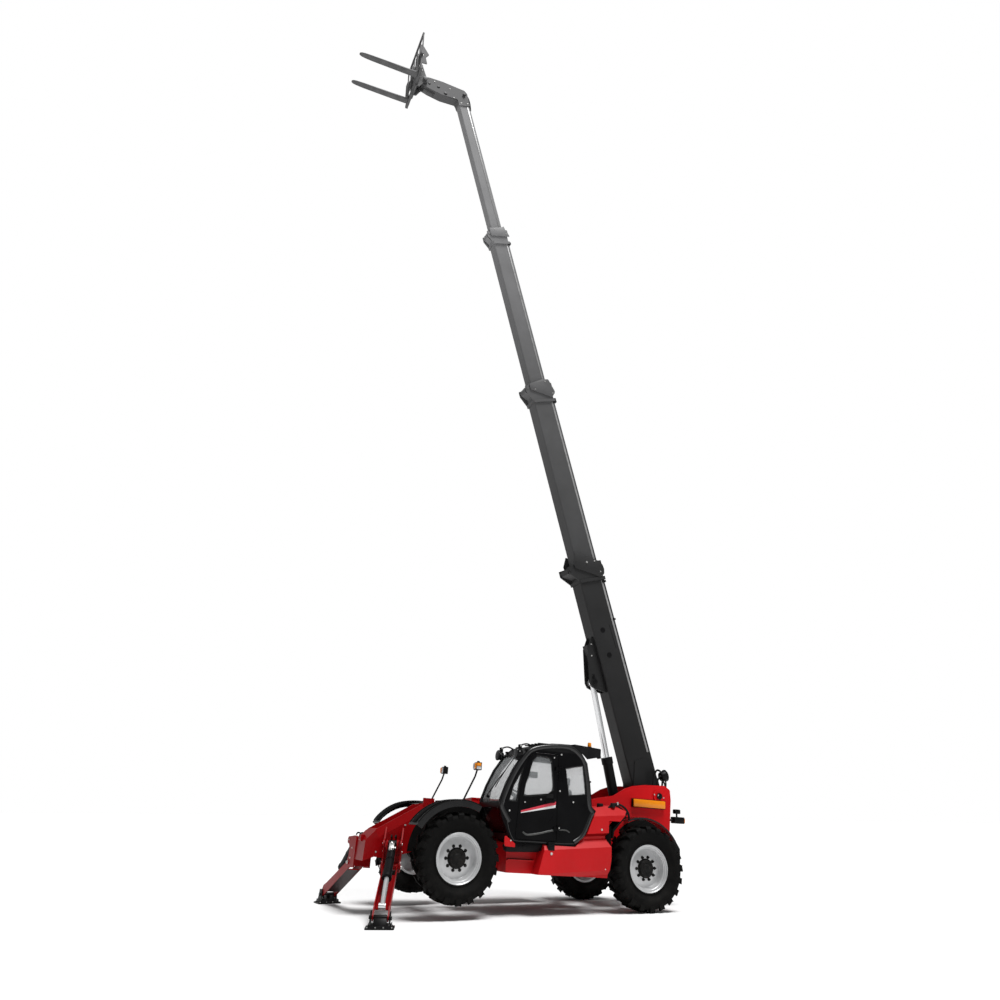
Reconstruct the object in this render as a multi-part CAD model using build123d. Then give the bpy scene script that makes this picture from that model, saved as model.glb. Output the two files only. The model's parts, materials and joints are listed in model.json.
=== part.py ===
from build123d import *
from math import asin, atan2, cos, degrees, hypot, radians, sin
import os

# Telescopic handler with a four-section boom, a cab on the left and two front stabilisers.
# Built level: X forward from the rear axle, Y to the cab side, Z up from the tyre's foot.
# The finished machine is then pitched nose-up about the rear axle. Millimetres, degrees.

# ---- driving dimensions ----
WHEELBASE = 3070
HALF_TRACK = 1010
TYRE_R = 600
TYRE_W = 400
RIM_R = 312
RIM_FLANGE_R = 334
KINGPIN_Y = 740
NOSE_UP = 3.16

FRAME_PLATE = 20
TOWER_Y = 420
SPINE_Y = 240
NOSE_SKIN = 32
BELLY_Z = 450
SPINE_TOP_Z = 1000
AXLE_ARCH_Z = 730

BOOM_PIVOT_X = -675
BOOM_PIVOT_Z = 1687
BOOM_ANGLE = 72.1
BOOM_WALL = 12
BOOM_CORNER = 28
PIVOT_PIN_R = 45

LIFT_BASE_X = -220
LIFT_BASE_Z = 1010
LIFT_EYE_S = 2050
LIFT_EYE_N = -450
LIFT_BARREL_R = 85
LIFT_ROD_R = 50
LIFT_BARREL_L = 1290
LIFT_PIN_R = 36

CARRIAGE_S = 15180
CARRIAGE_N = -860
TILT_BASE_S = 14930
TILT_BASE_N = 20
TILT_LEVER = 205
TILT_LEVER_ANGLE = 78
TILT_BARREL_R = 48
TILT_ROD_R = 28
TILT_BARREL_L = 560
FORK_LENGTH = 1200
FORK_WIDTH = 125
FORK_THICK = 50
FORK_Y = 361
CARRIAGE_HALF = 560
BACKREST_TOP = 820

CAB_FRONT_GAP = 605
CAB_RIGHT_Y = 315
CAB_LEFT_Y = 1130
CAB_WALL = 42
CAB_FLOOR_Z = 850
GLASS = 6
DOOR_REAR = -902
DOOR_GAP = 6

LEG_PIVOT_Y = 450
LEG_PIVOT_Z = 420
LEG_LENGTH = 1272
LEG_DROP = 24.8
LEG_HALF_W = 105
LEG_RAIL = 16
PAD_LONG = 150
PAD_WIDE = 182

RUN_GAP = 8
PIN_GAP = 1
WEAR_GAP = 0.3
SIDES = (("left", 1), ("right", -1))
LEG_PIVOT_X = {"left": 3830, "right": 4104}
LEG_SPLAY = {"left": 18.9, "right": 5.9}

SWING_R = hypot(TYRE_R, HALF_TRACK + TYRE_W / 2 - KINGPIN_Y) + 24
FRONT = WHEELBASE
CAB_X = WHEELBASE - CAB_FRONT_GAP


# ---- shape helpers ----
def slab(points, y_low, y_high):
    """Plate with an X-Z outline, standing between two Y values."""
    outline = Plane.XZ * Polygon(*points, align=None)
    return Pos(0, y_high, 0) * extrude(outline, amount=y_high - y_low, dir=(0, -1, 0))


def soft_slab(points, y_low, y_high, radius):
    """Plate like slab, its outline's corners rounded."""
    sketch = Polygon(*points, align=None)
    sketch = fillet(sketch.vertices(), radius)
    return Pos(0, y_high, 0) * extrude(Plane.XZ * sketch, amount=y_high - y_low, dir=(0, -1, 0))


def block(x_low, x_high, y_low, y_high, z_low, z_high):
    """Box between two corners."""
    size = Box(x_high - x_low, y_high - y_low, z_high - z_low)
    return Pos((x_low + x_high) / 2, (y_low + y_high) / 2, (z_low + z_high) / 2) * size


def bar_y(x, z, radius, y_low, y_high):
    """Round bar along Y."""
    return Pos(x, (y_low + y_high) / 2, z) * Rot(90, 0, 0) * Cylinder(radius, y_high - y_low)


def bar_x(y, z, radius, x_low, x_high):
    """Round bar along X."""
    return Pos((x_low + x_high) / 2, y, z) * Rot(0, 90, 0) * Cylinder(radius, x_high - x_low)


def bar_z(x, y, radius, z_low, z_high):
    """Round bar along Z."""
    return Pos(x, y, (z_low + z_high) / 2) * Cylinder(radius, z_high - z_low)


def pipe(start, end, radius):
    """Round bar between two points."""
    line = Line(start, end)
    return sweep(Plane(origin=start, z_dir=line % 0) * Circle(radius), path=line)


def fuse(pieces):
    """One shape from a list of overlapping ones."""
    whole = pieces[0]
    for piece in pieces[1:]:
        whole += piece
    return whole


def cut_all(body, cutters):
    """The body less every cutter."""
    for cutter in cutters:
        body -= cutter
    return body


def group(place, pieces):
    """Separate solids set down together as one piece of the machine."""
    return Compound([place * solid for piece in pieces for solid in piece.solids()])


def mirrored(shape):
    """The same shape on the other side of the machine."""
    return mirror(shape, about=Plane.XZ)


# ---- places ----
chassis_at = Pos(0, 0, TYRE_R) * Rot(0, -NOSE_UP, 0) * Pos(0, 0, -TYRE_R)
boom_at = chassis_at * Pos(BOOM_PIVOT_X, 0, BOOM_PIVOT_Z) * Rot(0, -BOOM_ANGLE, 0)
carriage_at = boom_at * Pos(CARRIAGE_S, 0, CARRIAGE_N) * Rot(0, BOOM_ANGLE + NOSE_UP, 0)

# The lift cylinder's two pins and its slope, in the boom's own frame.
lift_dx = LIFT_BASE_X - BOOM_PIVOT_X
lift_dz = LIFT_BASE_Z - BOOM_PIVOT_Z
boom_cos = cos(radians(BOOM_ANGLE))
boom_sin = sin(radians(BOOM_ANGLE))
LIFT_BASE_S = lift_dx * boom_cos + lift_dz * boom_sin
LIFT_BASE_N = lift_dz * boom_cos - lift_dx * boom_sin
LIFT_LENGTH = hypot(LIFT_EYE_S - LIFT_BASE_S, LIFT_EYE_N - LIFT_BASE_N)
LIFT_SLOPE = degrees(atan2(LIFT_EYE_N - LIFT_BASE_N, LIFT_EYE_S - LIFT_BASE_S))
lift_at = boom_at * Pos(LIFT_BASE_S, 0, LIFT_BASE_N) * Rot(0, -LIFT_SLOPE, 0)

# The tilt cylinder's eye, on the carriage's lever, in the boom's frame.
lever_turn = radians(TILT_LEVER_ANGLE - BOOM_ANGLE - NOSE_UP)
TILT_EYE_S = CARRIAGE_S + TILT_LEVER * cos(lever_turn)
TILT_EYE_N = CARRIAGE_N + TILT_LEVER * sin(lever_turn)
TILT_LENGTH = hypot(TILT_EYE_S - TILT_BASE_S, TILT_EYE_N - TILT_BASE_N)
TILT_SLOPE = degrees(atan2(TILT_EYE_N - TILT_BASE_N, TILT_EYE_S - TILT_BASE_S))
tilt_at = boom_at * Pos(TILT_BASE_S, 0, TILT_BASE_N) * Rot(0, -TILT_SLOPE, 0)

parts = {}

# ---- main frame: tower plates, spine channel, nose, counterweight ----
tower_outline = [
    (590, 1550), (506, 1574), (191, 1634), (-38, 1764), (-177, 1812), (-412, 1846),
    (-800, 1862), (-905, 1800), (-918, 1640), (-886, 1147), (-800, 820), (-560, AXLE_ARCH_Z),
    (430, AXLE_ARCH_Z), (640, 560), (760, 620), (760, 1350),
]
spine_outline = [
    (380, SPINE_TOP_Z + 150), (900, SPINE_TOP_Z), (FRONT - 800, SPINE_TOP_Z), (FRONT - 640, 1395),
    (FRONT - 60, 1352), (FRONT + 316, 1282), (FRONT + 969, 905), (FRONT + 1105, 763), (FRONT + 1120, 745),
    (FRONT + 1130, 473), (FRONT + 971, 534), (FRONT + 847, 523), (FRONT + 432, 616),
    (FRONT + 340, AXLE_ARCH_Z), (FRONT - 330, AXLE_ARCH_Z), (FRONT - 520, BELLY_Z),
    (620, BELLY_Z), (380, 640),
]
# The nose's skins stand proud of the spine, their upper edge folded inwards.
skin_outline = [
    (FRONT - 640, 1395), (FRONT - 60, 1352), (FRONT + 316, 1282), (FRONT + 969, 905), (FRONT + 1105, 763),
    (FRONT + 1120, 745), (FRONT + 1130, 473), (FRONT + 971, 534), (FRONT + 847, 523), (FRONT + 432, 616),
    (FRONT + 340, AXLE_ARCH_Z), (FRONT - 330, AXLE_ARCH_Z), (FRONT - 640, 900),
]
FOLD_DEPTH = 120
frame_bits = []
for side_name, side in SIDES:
    tower = soft_slab(tower_outline, TOWER_Y - FRAME_PLATE, TOWER_Y, 40)
    spine = slab(spine_outline, SPINE_Y - FRAME_PLATE, SPINE_Y)
    skin = slab(skin_outline, SPINE_Y - 1, SPINE_Y + NOSE_SKIN)
    for i in range(3):
        (x_a, z_a), (x_b, z_b) = skin_outline[i], skin_outline[i + 1]
        run = degrees(atan2(z_b - z_a, x_b - x_a))
        skin_y = SPINE_Y + NOSE_SKIN + 1
        fold = Polyline((SPINE_Y, 1), (skin_y, 1), (skin_y, -FOLD_DEPTH), close=True)
        length = hypot(x_b - x_a, z_b - z_a)
        wedge = extrude(Plane.YZ * make_face(fold), amount=length + 60)
        skin -= Pos(x_a, 0, z_a) * Rot(0, -run, 0) * Pos(-30, 0, 0) * wedge
    join = block(400, 740, SPINE_Y - FRAME_PLATE, TOWER_Y, 700, 760)
    wing = block(720, 760, SPINE_Y - FRAME_PLATE, TOWER_Y, 620, 1120)
    pivot_ring = bar_y(BOOM_PIVOT_X, BOOM_PIVOT_Z, 105, TOWER_Y - 5, TOWER_Y + 18)
    lift_boss = bar_y(LIFT_BASE_X, LIFT_BASE_Z, 62, 68, TOWER_Y)
    for bit in (tower, spine, skin, join, wing, pivot_ring, lift_boss):
        frame_bits.append(bit if side > 0 else mirrored(bit))
rest = block(FRONT + 127, FRONT + 298, SPINE_Y - FRAME_PLATE, SPINE_Y + 12, 1250, 1376)
rest -= block(FRONT + 150, FRONT + 275, SPINE_Y - 6, SPINE_Y + 13, 1300, 1377)
belly = block(560, FRONT - 470, -SPINE_Y + 5, SPINE_Y - 5, BELLY_Z, BELLY_Z + FRAME_PLATE)
tail_wall = block(-860, -560, -TOWER_Y + 5, TOWER_Y - 5, 820, 850)
tail_plate = block(-880, -850, -TOWER_Y + 5, TOWER_Y - 5, 830, 1230)
nose_top = slab(
    [(FRONT + 355, 940), (FRONT + 960, 880), (FRONT + 1112, 735), (FRONT + 1120, 745),
     (FRONT + 1105, 763), (FRONT + 969, 905), (FRONT + 355, 966)],
    -SPINE_Y + 5, SPINE_Y - 5)
nose_front = slab(
    [(FRONT + 1120, 745), (FRONT + 1130, 473), (FRONT + 1108, 482), (FRONT + 1098, 745)],
    -SPINE_Y + 5, SPINE_Y - 5)
nose_floor = slab(
    [(FRONT + 1130, 473), (FRONT + 971, 534), (FRONT + 847, 523), (FRONT + 432, 616),
     (FRONT + 432, 638), (FRONT + 850, 546), (FRONT + 975, 556), (FRONT + 1120, 500)],
    -SPINE_Y + 5, SPINE_Y - 5)
tow_eye = soft_slab(
    [(FRONT + 1060, 760), (FRONT + 1085, 815), (FRONT + 1140, 815), (FRONT + 1145, 740), (FRONT + 1100, 700)],
    -70, 70, 12)
axle_cross = block(FRONT - 180, FRONT + 180, -SPINE_Y + 5, SPINE_Y - 5, AXLE_ARCH_Z + 45, AXLE_ARCH_Z + 70)
rear_cross = block(-250, 250, -TOWER_Y + 5, TOWER_Y - 5, AXLE_ARCH_Z + 45, AXLE_ARCH_Z + 70)
lift_tube = bar_y(1020, 640, 70, -SPINE_Y + 5, SPINE_Y - 5)
pivot_pin = bar_y(BOOM_PIVOT_X, BOOM_PIVOT_Z, PIVOT_PIN_R, -TOWER_Y - 30, TOWER_Y + 30)
lift_pin = bar_y(LIFT_BASE_X, LIFT_BASE_Z, LIFT_PIN_R, -TOWER_Y - 15, TOWER_Y + 15)
frame_bits += [rest, belly, tail_wall, tail_plate, nose_top, nose_front, nose_floor, tow_eye]
frame_bits += [axle_cross, rear_cross, lift_tube, pivot_pin, lift_pin]

# Outriggers that carry the cab, the tank and the engine bay.
for x_mid in (CAB_X - 780, CAB_X - 330):
    for side_name, side in SIDES:
        low, high = sorted((side * (SPINE_Y - 5), side * 560))
        frame_bits.append(block(x_mid - 60, x_mid + 60, low, high, 700, CAB_FLOOR_Z))

# Arched mudguards stand off the tyre, centred a little above the axle and away from the cab.
GUARD_T = 10
GUARD_Z = TYRE_R + 10
ARM_WIDE = 80
ARM_DEEP = 38
FRONT_GUARD_R = TYRE_R + 135
REAR_GUARD_R = TYRE_R + 102
guard_rows = (
    # name, axle x, centre ahead, inner radius, arc from, arc to,
    # arm ahead, arm's root, inner y, outer y, lip depth
    ("front", FRONT, 30, FRONT_GUARD_R, 31, 114, 30, SPINE_Y, 810, 1210, 78),
    ("rear", 0, -40, REAR_GUARD_R, 66, 146, -85, TOWER_Y, 740, 965, 14),
)
MAST_FOOT = GUARD_Z + FRONT_GUARD_R

# The stabilisers' pivot ears stand on the nose.
leg_at = {}
for side_name, side in SIDES:
    hub = Pos(LEG_PIVOT_X[side_name], side * LEG_PIVOT_Y, LEG_PIVOT_Z)
    leg_at[side_name] = hub * Rot(0, 0, side * (90 - LEG_SPLAY[side_name]))
LEG_CYL_U = 95
LEG_CYL_W = 300
EAR_T = 20
EAR_V = LEG_HALF_W + RUN_GAP
LEG_CYL_EAR_V = 64
EAR_TOP = {"left": 520, "right": 372}
cylinder_ear = [(-230, 130), (0, 150), (110, 225), (152, 280), (140, 335), (70, 352), (-230, 330)]
for side_name, side in SIDES:
    place = leg_at[side_name]
    ear_top = EAR_TOP[side_name]
    ear = [(-235, -60), (0, -70), (62, -20), (62, 40), (22, 90), (14, 190), (60, 250), (130, 262), (146, 310),
           (112, 350), (0, 358), (-150, ear_top), (-235, ear_top)]
    for v_low in (-EAR_V - EAR_T, EAR_V):
        frame_bits.append(place * soft_slab(ear, v_low, v_low + EAR_T, 10))
    for v_low in (-LEG_CYL_EAR_V - EAR_T, LEG_CYL_EAR_V):
        frame_bits.append(place * soft_slab(cylinder_ear, v_low, v_low + EAR_T, 14))
    frame_bits.append(place * bar_y(0, 0, 30, -EAR_V - EAR_T - 12, EAR_V + EAR_T + 12))
    pin_to = LEG_CYL_EAR_V + EAR_T
    frame_bits.append(place * bar_y(LEG_CYL_U, LEG_CYL_W, 24, -pin_to, pin_to))
    saddle = slab([(-235, -40), (-110, -40), (-110, 250), (-150, 330), (-235, 365)], -EAR_V - 1, EAR_V + 1)
    frame_bits.append(place * saddle)

frame = fuse(frame_bits)
parts["main_frame"] = chassis_at * frame

# ---- counterweight: a casting bolted behind the tower, with the tow hitch's lugs and pin bore ----
HITCH_R = 16
HITCH_X = -1225
counterweight = soft_slab(
    [(-860, 560), (-1040, 590), (-1090, 690), (-1090, 900), (-960, 1080), (-860, 1100)], -405, 405, 30)
for z_low in (640, 720):
    counterweight += block(HITCH_X - 35, -1040, -60, 60, z_low, z_low + FRAME_PLATE)
counterweight -= frame
counterweight -= bar_z(HITCH_X, 0, HITCH_R, 600, 780)
parts["counterweight"] = chassis_at * counterweight

# ---- axle beams: one housing at each end, ended by its kingpins ----
BEAM_R = 95
KNUCKLE_OPEN = 110
DIFF_R = 168
diff_profile = Polyline(
    (0, -260), (BEAM_R + 6, -260), (DIFF_R, -110), (DIFF_R, 110), (BEAM_R + 6, 260), (0, 260), close=True)
differential = Rot(90, 0, 0) * revolve(Plane.XZ * make_face(diff_profile), Axis.Z)
axles = []
for axle_x in (0, FRONT):
    housing = bar_y(axle_x, TYRE_R, BEAM_R, -KINGPIN_Y + 60, KINGPIN_Y - 60)
    bulge = Pos(axle_x, 0, TYRE_R) * differential
    pieces = [housing, bulge]
    for side_name, side in SIDES:
        low, high = sorted((side * (SPINE_Y - 60), side * TOWER_Y))
        pieces.append(block(axle_x - 120, axle_x + 120, low, high, TYRE_R + 20, AXLE_ARCH_Z))
    for side_name, side in SIDES:
        y = side * KINGPIN_Y
        pieces.append(bar_z(axle_x, y, 62, TYRE_R - KNUCKLE_OPEN + RUN_GAP, TYRE_R + KNUCKLE_OPEN - RUN_GAP))
        pieces.append(bar_z(axle_x, y, 24, TYRE_R - 165, TYRE_R + 165))
    axles.append(fuse(pieces))
parts["axle_beams"] = group(chassis_at, axles)

# ---- steering knuckles and wheels ----
SPINDLE_R = 62
WEB_Y = 20
wheel_rows = (
    ("front_left", FRONT, 1), ("front_right", FRONT, -1), ("rear_left", 0, 1), ("rear_right", 0, -1),
)
knuckle = fuse([
    block(-75, 75, -75, 100, KNUCKLE_OPEN, KNUCKLE_OPEN + 38),
    block(-75, 75, -75, 100, -KNUCKLE_OPEN - 38, -KNUCKLE_OPEN),
    block(-75, 75, 72, 100, -KNUCKLE_OPEN - 38, KNUCKLE_OPEN + 38),
    bar_y(0, 0, 118, 72, 150),
    bar_y(0, 0, SPINDLE_R, 100, HALF_TRACK - KINGPIN_Y + WEB_Y + 70),
    block(-215, -60, -30, 30, -KNUCKLE_OPEN - 38, -KNUCKLE_OPEN - 8),
])
knuckle -= bar_z(0, 0, 24 + PIN_GAP, -200, 200)

half_w = TYRE_W / 2
bead = 128
tyre_profile = Polyline(
    (RIM_R, -bead), (RIM_R + 60, -bead - 42), (TYRE_R - 130, -half_w), (TYRE_R - 42, -half_w + 6),
    (TYRE_R, -half_w + 42), (TYRE_R, half_w - 42), (TYRE_R - 42, half_w - 6), (TYRE_R - 130, half_w),
    (RIM_R + 60, bead + 42), (RIM_R, bead), close=True)
tyre = revolve(Plane.XZ * make_face(tyre_profile), Axis.Z)
tyre = Rot(90, 0, 0) * tyre
rim_profile = Polyline(
    (RIM_R - 14, -bead - 30), (RIM_FLANGE_R, -bead - 30), (RIM_FLANGE_R, -bead - 22), (RIM_R, -bead),
    (RIM_R, bead), (RIM_FLANGE_R, bead + 22), (RIM_FLANGE_R, bead + 30), (RIM_R - 14, bead + 30),
    (RIM_R - 30, bead - 10), (RIM_R - 95, WEB_Y + 34), (210, WEB_Y + 14), (150, WEB_Y + 30),
    (SPINDLE_R + PIN_GAP, WEB_Y + 30), (SPINDLE_R + PIN_GAP, WEB_Y + 2), (200, WEB_Y - 6),
    (RIM_R - 80, WEB_Y + 10), (RIM_R - 30, WEB_Y + 20), (RIM_R - 30, -bead + 10), close=True)
rim = revolve(Plane.XZ * make_face(rim_profile), Axis.Z)
rim = Rot(-90, 0, 0) * rim
for wheel_name, axle_x, side in wheel_rows:
    knuckle_here = knuckle if side > 0 else mirrored(knuckle)
    rim_here = rim if side > 0 else mirrored(rim)
    if axle_x == 0:
        knuckle_here = mirror(knuckle_here, about=Plane.YZ)
    hub_at = chassis_at * Pos(axle_x, side * HALF_TRACK, TYRE_R)
    parts["knuckle_" + wheel_name] = chassis_at * Pos(axle_x, side * KINGPIN_Y, TYRE_R) * knuckle_here
    parts["rim_" + wheel_name] = hub_at * rim_here
    parts["tyre_" + wheel_name] = hub_at * tyre

# ---- mudguards: four arched shells with a turned-down outer lip, each on its arm ----
# The two front arms carry the light masts.
mast_y = HALF_TRACK - 255
mast = block(FRONT - 25, FRONT + 34, mast_y - 30, mast_y + 30, MAST_FOOT - 30, MAST_FOOT + 2)
mast += pipe((FRONT - 15, mast_y, MAST_FOOT - 6), (FRONT - 150, mast_y, MAST_FOOT + 26), 13)
mast += pipe((FRONT - 150, mast_y, MAST_FOOT + 26), (FRONT - 310, mast_y, 1715), 13)
mast += pipe((FRONT - 310, mast_y, 1715), (FRONT - 345, mast_y, 1845), 13)
mast += Pos(FRONT - 345, mast_y, 1860) * Box(70, 130, 110)
guards = []
for row in guard_rows:
    guard_name, axle_x, ahead, r_in, arc_from, arc_to, arm_ahead, arm_root, y_in, y_out, lip_deep = row
    arm_x = axle_x + arm_ahead
    arm_top = GUARD_Z + r_in + 6
    arm = block(arm_x, arm_x + ARM_WIDE, arm_root, y_out - 80, arm_top - ARM_DEEP, arm_top)
    axle_x = axle_x + ahead
    steps = 12
    outer = []
    inner = []
    for i in range(steps + 1):
        turn = radians(arc_from + (arc_to - arc_from) * i / steps)
        outer.append((axle_x + (r_in + GUARD_T) * cos(turn), GUARD_Z + (r_in + GUARD_T) * sin(turn)))
        inner.append((axle_x + r_in * cos(turn), GUARD_Z + r_in * sin(turn)))
    arch = slab(outer + inner[::-1], y_in, y_out)
    lip_share = lip_deep / r_in
    lip_low = [(x - (x - axle_x) * lip_share, z - (z - GUARD_Z) * lip_share) for x, z in inner]
    lip = slab(outer + lip_low[::-1], y_out - 14, y_out)
    guard = arch + lip + arm
    if guard_name == "front":
        guard += mast
    guards.append(guard)
    guards.append(mirrored(guard))
parts["mudguards"] = group(chassis_at, [guard - frame for guard in guards])

# ---- cab: hollow shell, roof, windows, door ----
cab_outline = [
    (-25, 1149), (28, 1301), (20, 1420), (-51, 1620), (-165, 1854), (-321, 2079), (-467, 2200),
    (-773, 2263), (-1088, 2276), (-1291, 2168), (-1394, 2025), (-1450, 1729), (-1486, 1404),
    (-1557, 1352), (-1518, 1293), (-1378, 997), (-1207, CAB_FLOOR_Z), (-245, CAB_FLOOR_Z), (-169, 885),
]
cab_outline = [(CAB_X + x, z) for x, z in cab_outline]
cab_sketch = fillet(Polygon(*cab_outline, align=None).vertices(), 14)


def cab_ring(depth_out, depth_in, y_low, y_high):
    """Band between two offsets of the cab's outline."""
    outer = offset(cab_sketch, -depth_out) if depth_out else cab_sketch
    inner = offset(cab_sketch, -depth_in)
    return Pos(0, y_high, 0) * extrude(Plane.XZ * (outer - inner), amount=y_high - y_low, dir=(0, -1, 0))


def cab_slice(depth, y_low, y_high):
    """The cab's outline, offset inwards, as a plate."""
    sketch = offset(cab_sketch, -depth) if depth else cab_sketch
    return Pos(0, y_high, 0) * extrude(Plane.XZ * sketch, amount=y_high - y_low, dir=(0, -1, 0))


windscreen_zone = [(-420, 2062), (-40, 2130), (120, 1380), (-90, 1372), (-190, 1600), (-330, 1880)]
lower_screen_zone = [(-60, 1290), (120, 1330), (60, 1010), (-180, 950), (-120, 1120)]
rear_zone = [(-1600, 1480), (-1350, 1480), (-1300, 2020), (-1500, 2060)]
roof_glass_zone = [(-1060, 2150), (-1060, 2400), (-640, 2400), (-640, 2130)]
quarter_zone = [(-1021, 1918), (-1325, 1986), (-1384, 1576), (-1082, 1538)]
vent_zone = [(-315, 1868), (-176, 1620), (-110, 1400), (-236, 1400), (-262, 1640)]
right_zone = [
    (-1385, 1560), (-1325, 2030), (-460, 2050), (-300, 1850), (-150, 1560), (-120, 1400), (-700, 1480),
]
door_outline = [
    (DOOR_REAR, 2110), (DOOR_REAR, 890), (-262, 890), (-235, 930), (-262, 1300), (-278, 1480), (-296, 1640),
    (-332, 1800), (-380, 1960), (-430, 2060), (-520, 2110),
]
door_glass = [
    (-412, 1793), (-460, 1976), (-540, 2065), (-743, 2050), (-783, 2010), (-826, 1681), (-829, 1600),
    (-746, 1537), (-342, 1483), (-362, 1643),
]


def at_cab(points):
    """Cab points moved to the cab's place along the machine."""
    return [(CAB_X + x, z) for x, z in points]


GLASS_Y = 60
wall_cut = CAB_WALL / 2 - GLASS / 2
inside = cab_slice(CAB_WALL, CAB_RIGHT_Y + CAB_WALL, CAB_LEFT_Y - CAB_WALL)
cab = cab_slice(0, CAB_RIGHT_Y, CAB_LEFT_Y) - inside
glass_low = CAB_RIGHT_Y + GLASS_Y
glass_high = CAB_LEFT_Y - GLASS_Y
cab_cutters = []
panes = []
for zone in (windscreen_zone, lower_screen_zone, rear_zone, roof_glass_zone):
    cutter = slab(at_cab(zone), glass_low, glass_high)
    cab_cutters.append(cutter)
    panes.append(cutter & cab_ring(wall_cut, wall_cut + GLASS, glass_low, glass_high))
for zone, wall_low in ((quarter_zone, CAB_LEFT_Y - CAB_WALL), (vent_zone, CAB_LEFT_Y - CAB_WALL),
                       (right_zone, CAB_RIGHT_Y)):
    cutter = slab(at_cab(zone), wall_low - 1, wall_low + CAB_WALL + 1)
    cab_cutters.append(cutter)
    panes.append(slab(at_cab(zone), wall_low + wall_cut, wall_low + wall_cut + GLASS))
door_hole = slab(at_cab(door_outline), CAB_LEFT_Y - CAB_WALL - 1, CAB_LEFT_Y + 1)
cab_cutters.append(door_hole)
cab = cut_all(cab, cab_cutters)
ROOF_Z = 2150
roof_zone = block(CAB_X - 1700, CAB_X + 200, 0, 1500, ROOF_Z, 2600)
roof = cab & roof_zone
cab = cab - roof_zone
# A hollow visor tapers back from the roof's rear edge.
visor_outline = [(-1090, 2272), (-1180, 2290), (-1630, 2264), (-1643, 2256), (-1640, 2150), (-1618, 2136),
                 (-1410, 2090), (-1330, 2156)]
visor_hollow = [(-1300, 2170), (-1300, 2262), (-1622, 2248), (-1700, 2240), (-1700, 2000), (-1300, 2000)]
visor = slab(at_cab(visor_outline), CAB_RIGHT_Y + 25, CAB_LEFT_Y - 25)
visor -= slab(at_cab(visor_hollow), CAB_RIGHT_Y + 41, CAB_LEFT_Y - 41)
visor -= inside
visor -= cab
roof = roof + visor
parts["cab_roof"] = chassis_at * roof
parts["cab_windows"] = group(chassis_at, panes)

door_sketch = offset(Polygon(*at_cab(door_outline), align=None), -DOOR_GAP)
door = Pos(0, CAB_LEFT_Y, 0) * extrude(Plane.XZ * door_sketch, amount=CAB_WALL, dir=(0, -1, 0))
door -= slab(at_cab(door_glass), CAB_LEFT_Y - CAB_WALL - 1, CAB_LEFT_Y + 1)
hinge_x = CAB_X + DOOR_REAR - 3
HINGE_OUT = 20
hinge_y = CAB_LEFT_Y + HINGE_OUT
HINGE_PIN_R = 7
lugs = []
for hinge_z in (1060, 1900):
    for z_low in (hinge_z - 44, hinge_z + 31):
        lugs.append(block(hinge_x - 60, hinge_x - 4, CAB_LEFT_Y - 1, hinge_y + 10, z_low, z_low + 13))
        lugs.append(bar_z(hinge_x, hinge_y, 12, z_low, z_low + 13))
    lugs.append(bar_z(hinge_x, hinge_y, HINGE_PIN_R, hinge_z - 40, hinge_z + 40))
    leaf = block(hinge_x, hinge_x + 62, CAB_LEFT_Y - 1, hinge_y + 4, hinge_z - 30, hinge_z + 30)
    leaf += bar_z(hinge_x, hinge_y, 14, hinge_z - 30, hinge_z + 30)
    leaf -= block(hinge_x - 20, hinge_x + 9, CAB_LEFT_Y - 2, CAB_LEFT_Y + 5, hinge_z - 31, hinge_z + 31)
    door += leaf - bar_z(hinge_x, hinge_y, HINGE_PIN_R + 0.5, hinge_z - 31, hinge_z + 31)
parts["cab_shell"] = chassis_at * (cab + fuse(lugs))
handle_outline = at_cab([(-840, 1420), (-700, 1405), (-700, 1440), (-840, 1455)])
handle = soft_slab(handle_outline, CAB_LEFT_Y - 1, CAB_LEFT_Y + 28, 8)
door += handle
parts["cab_door"] = chassis_at * door
pane_y = CAB_LEFT_Y - CAB_WALL + wall_cut
door_pane = slab(at_cab(door_glass), pane_y, pane_y + GLASS)
parts["door_window"] = chassis_at * door_pane

# ---- cab interior ----
seat_y = (CAB_RIGHT_Y + CAB_LEFT_Y) / 2
seat_x = CAB_X - 985
floor_top = CAB_FLOOR_Z + CAB_WALL
pedestal = block(seat_x - 170, seat_x + 170, seat_y - 170, seat_y + 170, floor_top, floor_top + 260)
cushion = soft_slab([(seat_x - 250, 1135), (seat_x + 260, 1155), (seat_x + 260, 1270), (seat_x - 250, 1250)],
                    seat_y - 240, seat_y + 240, 25)
backrest = soft_slab([(seat_x - 260, 1200), (seat_x - 160, 1200), (seat_x - 200, 1830), (seat_x - 290, 1830)],
                     seat_y - 230, seat_y + 230, 25)
parts["operator_seat"] = chassis_at * (pedestal + cushion + backrest)
wheel_x = CAB_X - 440
column = slab([(wheel_x + 140, floor_top), (wheel_x + 220, floor_top), (wheel_x + 60, 1480), (wheel_x, 1480)],
              seat_y - 50, seat_y + 50)
dash = soft_slab([(wheel_x + 60, 1250), (wheel_x + 300, 1290), (wheel_x + 300, 1350), (wheel_x + 90, 1440)],
                 seat_y - 200, seat_y + 200, 15)
wheel_ring = Pos(wheel_x + 10, seat_y, 1500) * Rot(0, -28, 0) * Torus(170, 15)
wheel_hub = Pos(wheel_x + 20, seat_y, 1490) * Rot(0, -28, 0) * Box(340, 40, 18)
parts["cab_controls"] = chassis_at * (column + dash + wheel_ring + wheel_hub - cab)

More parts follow.
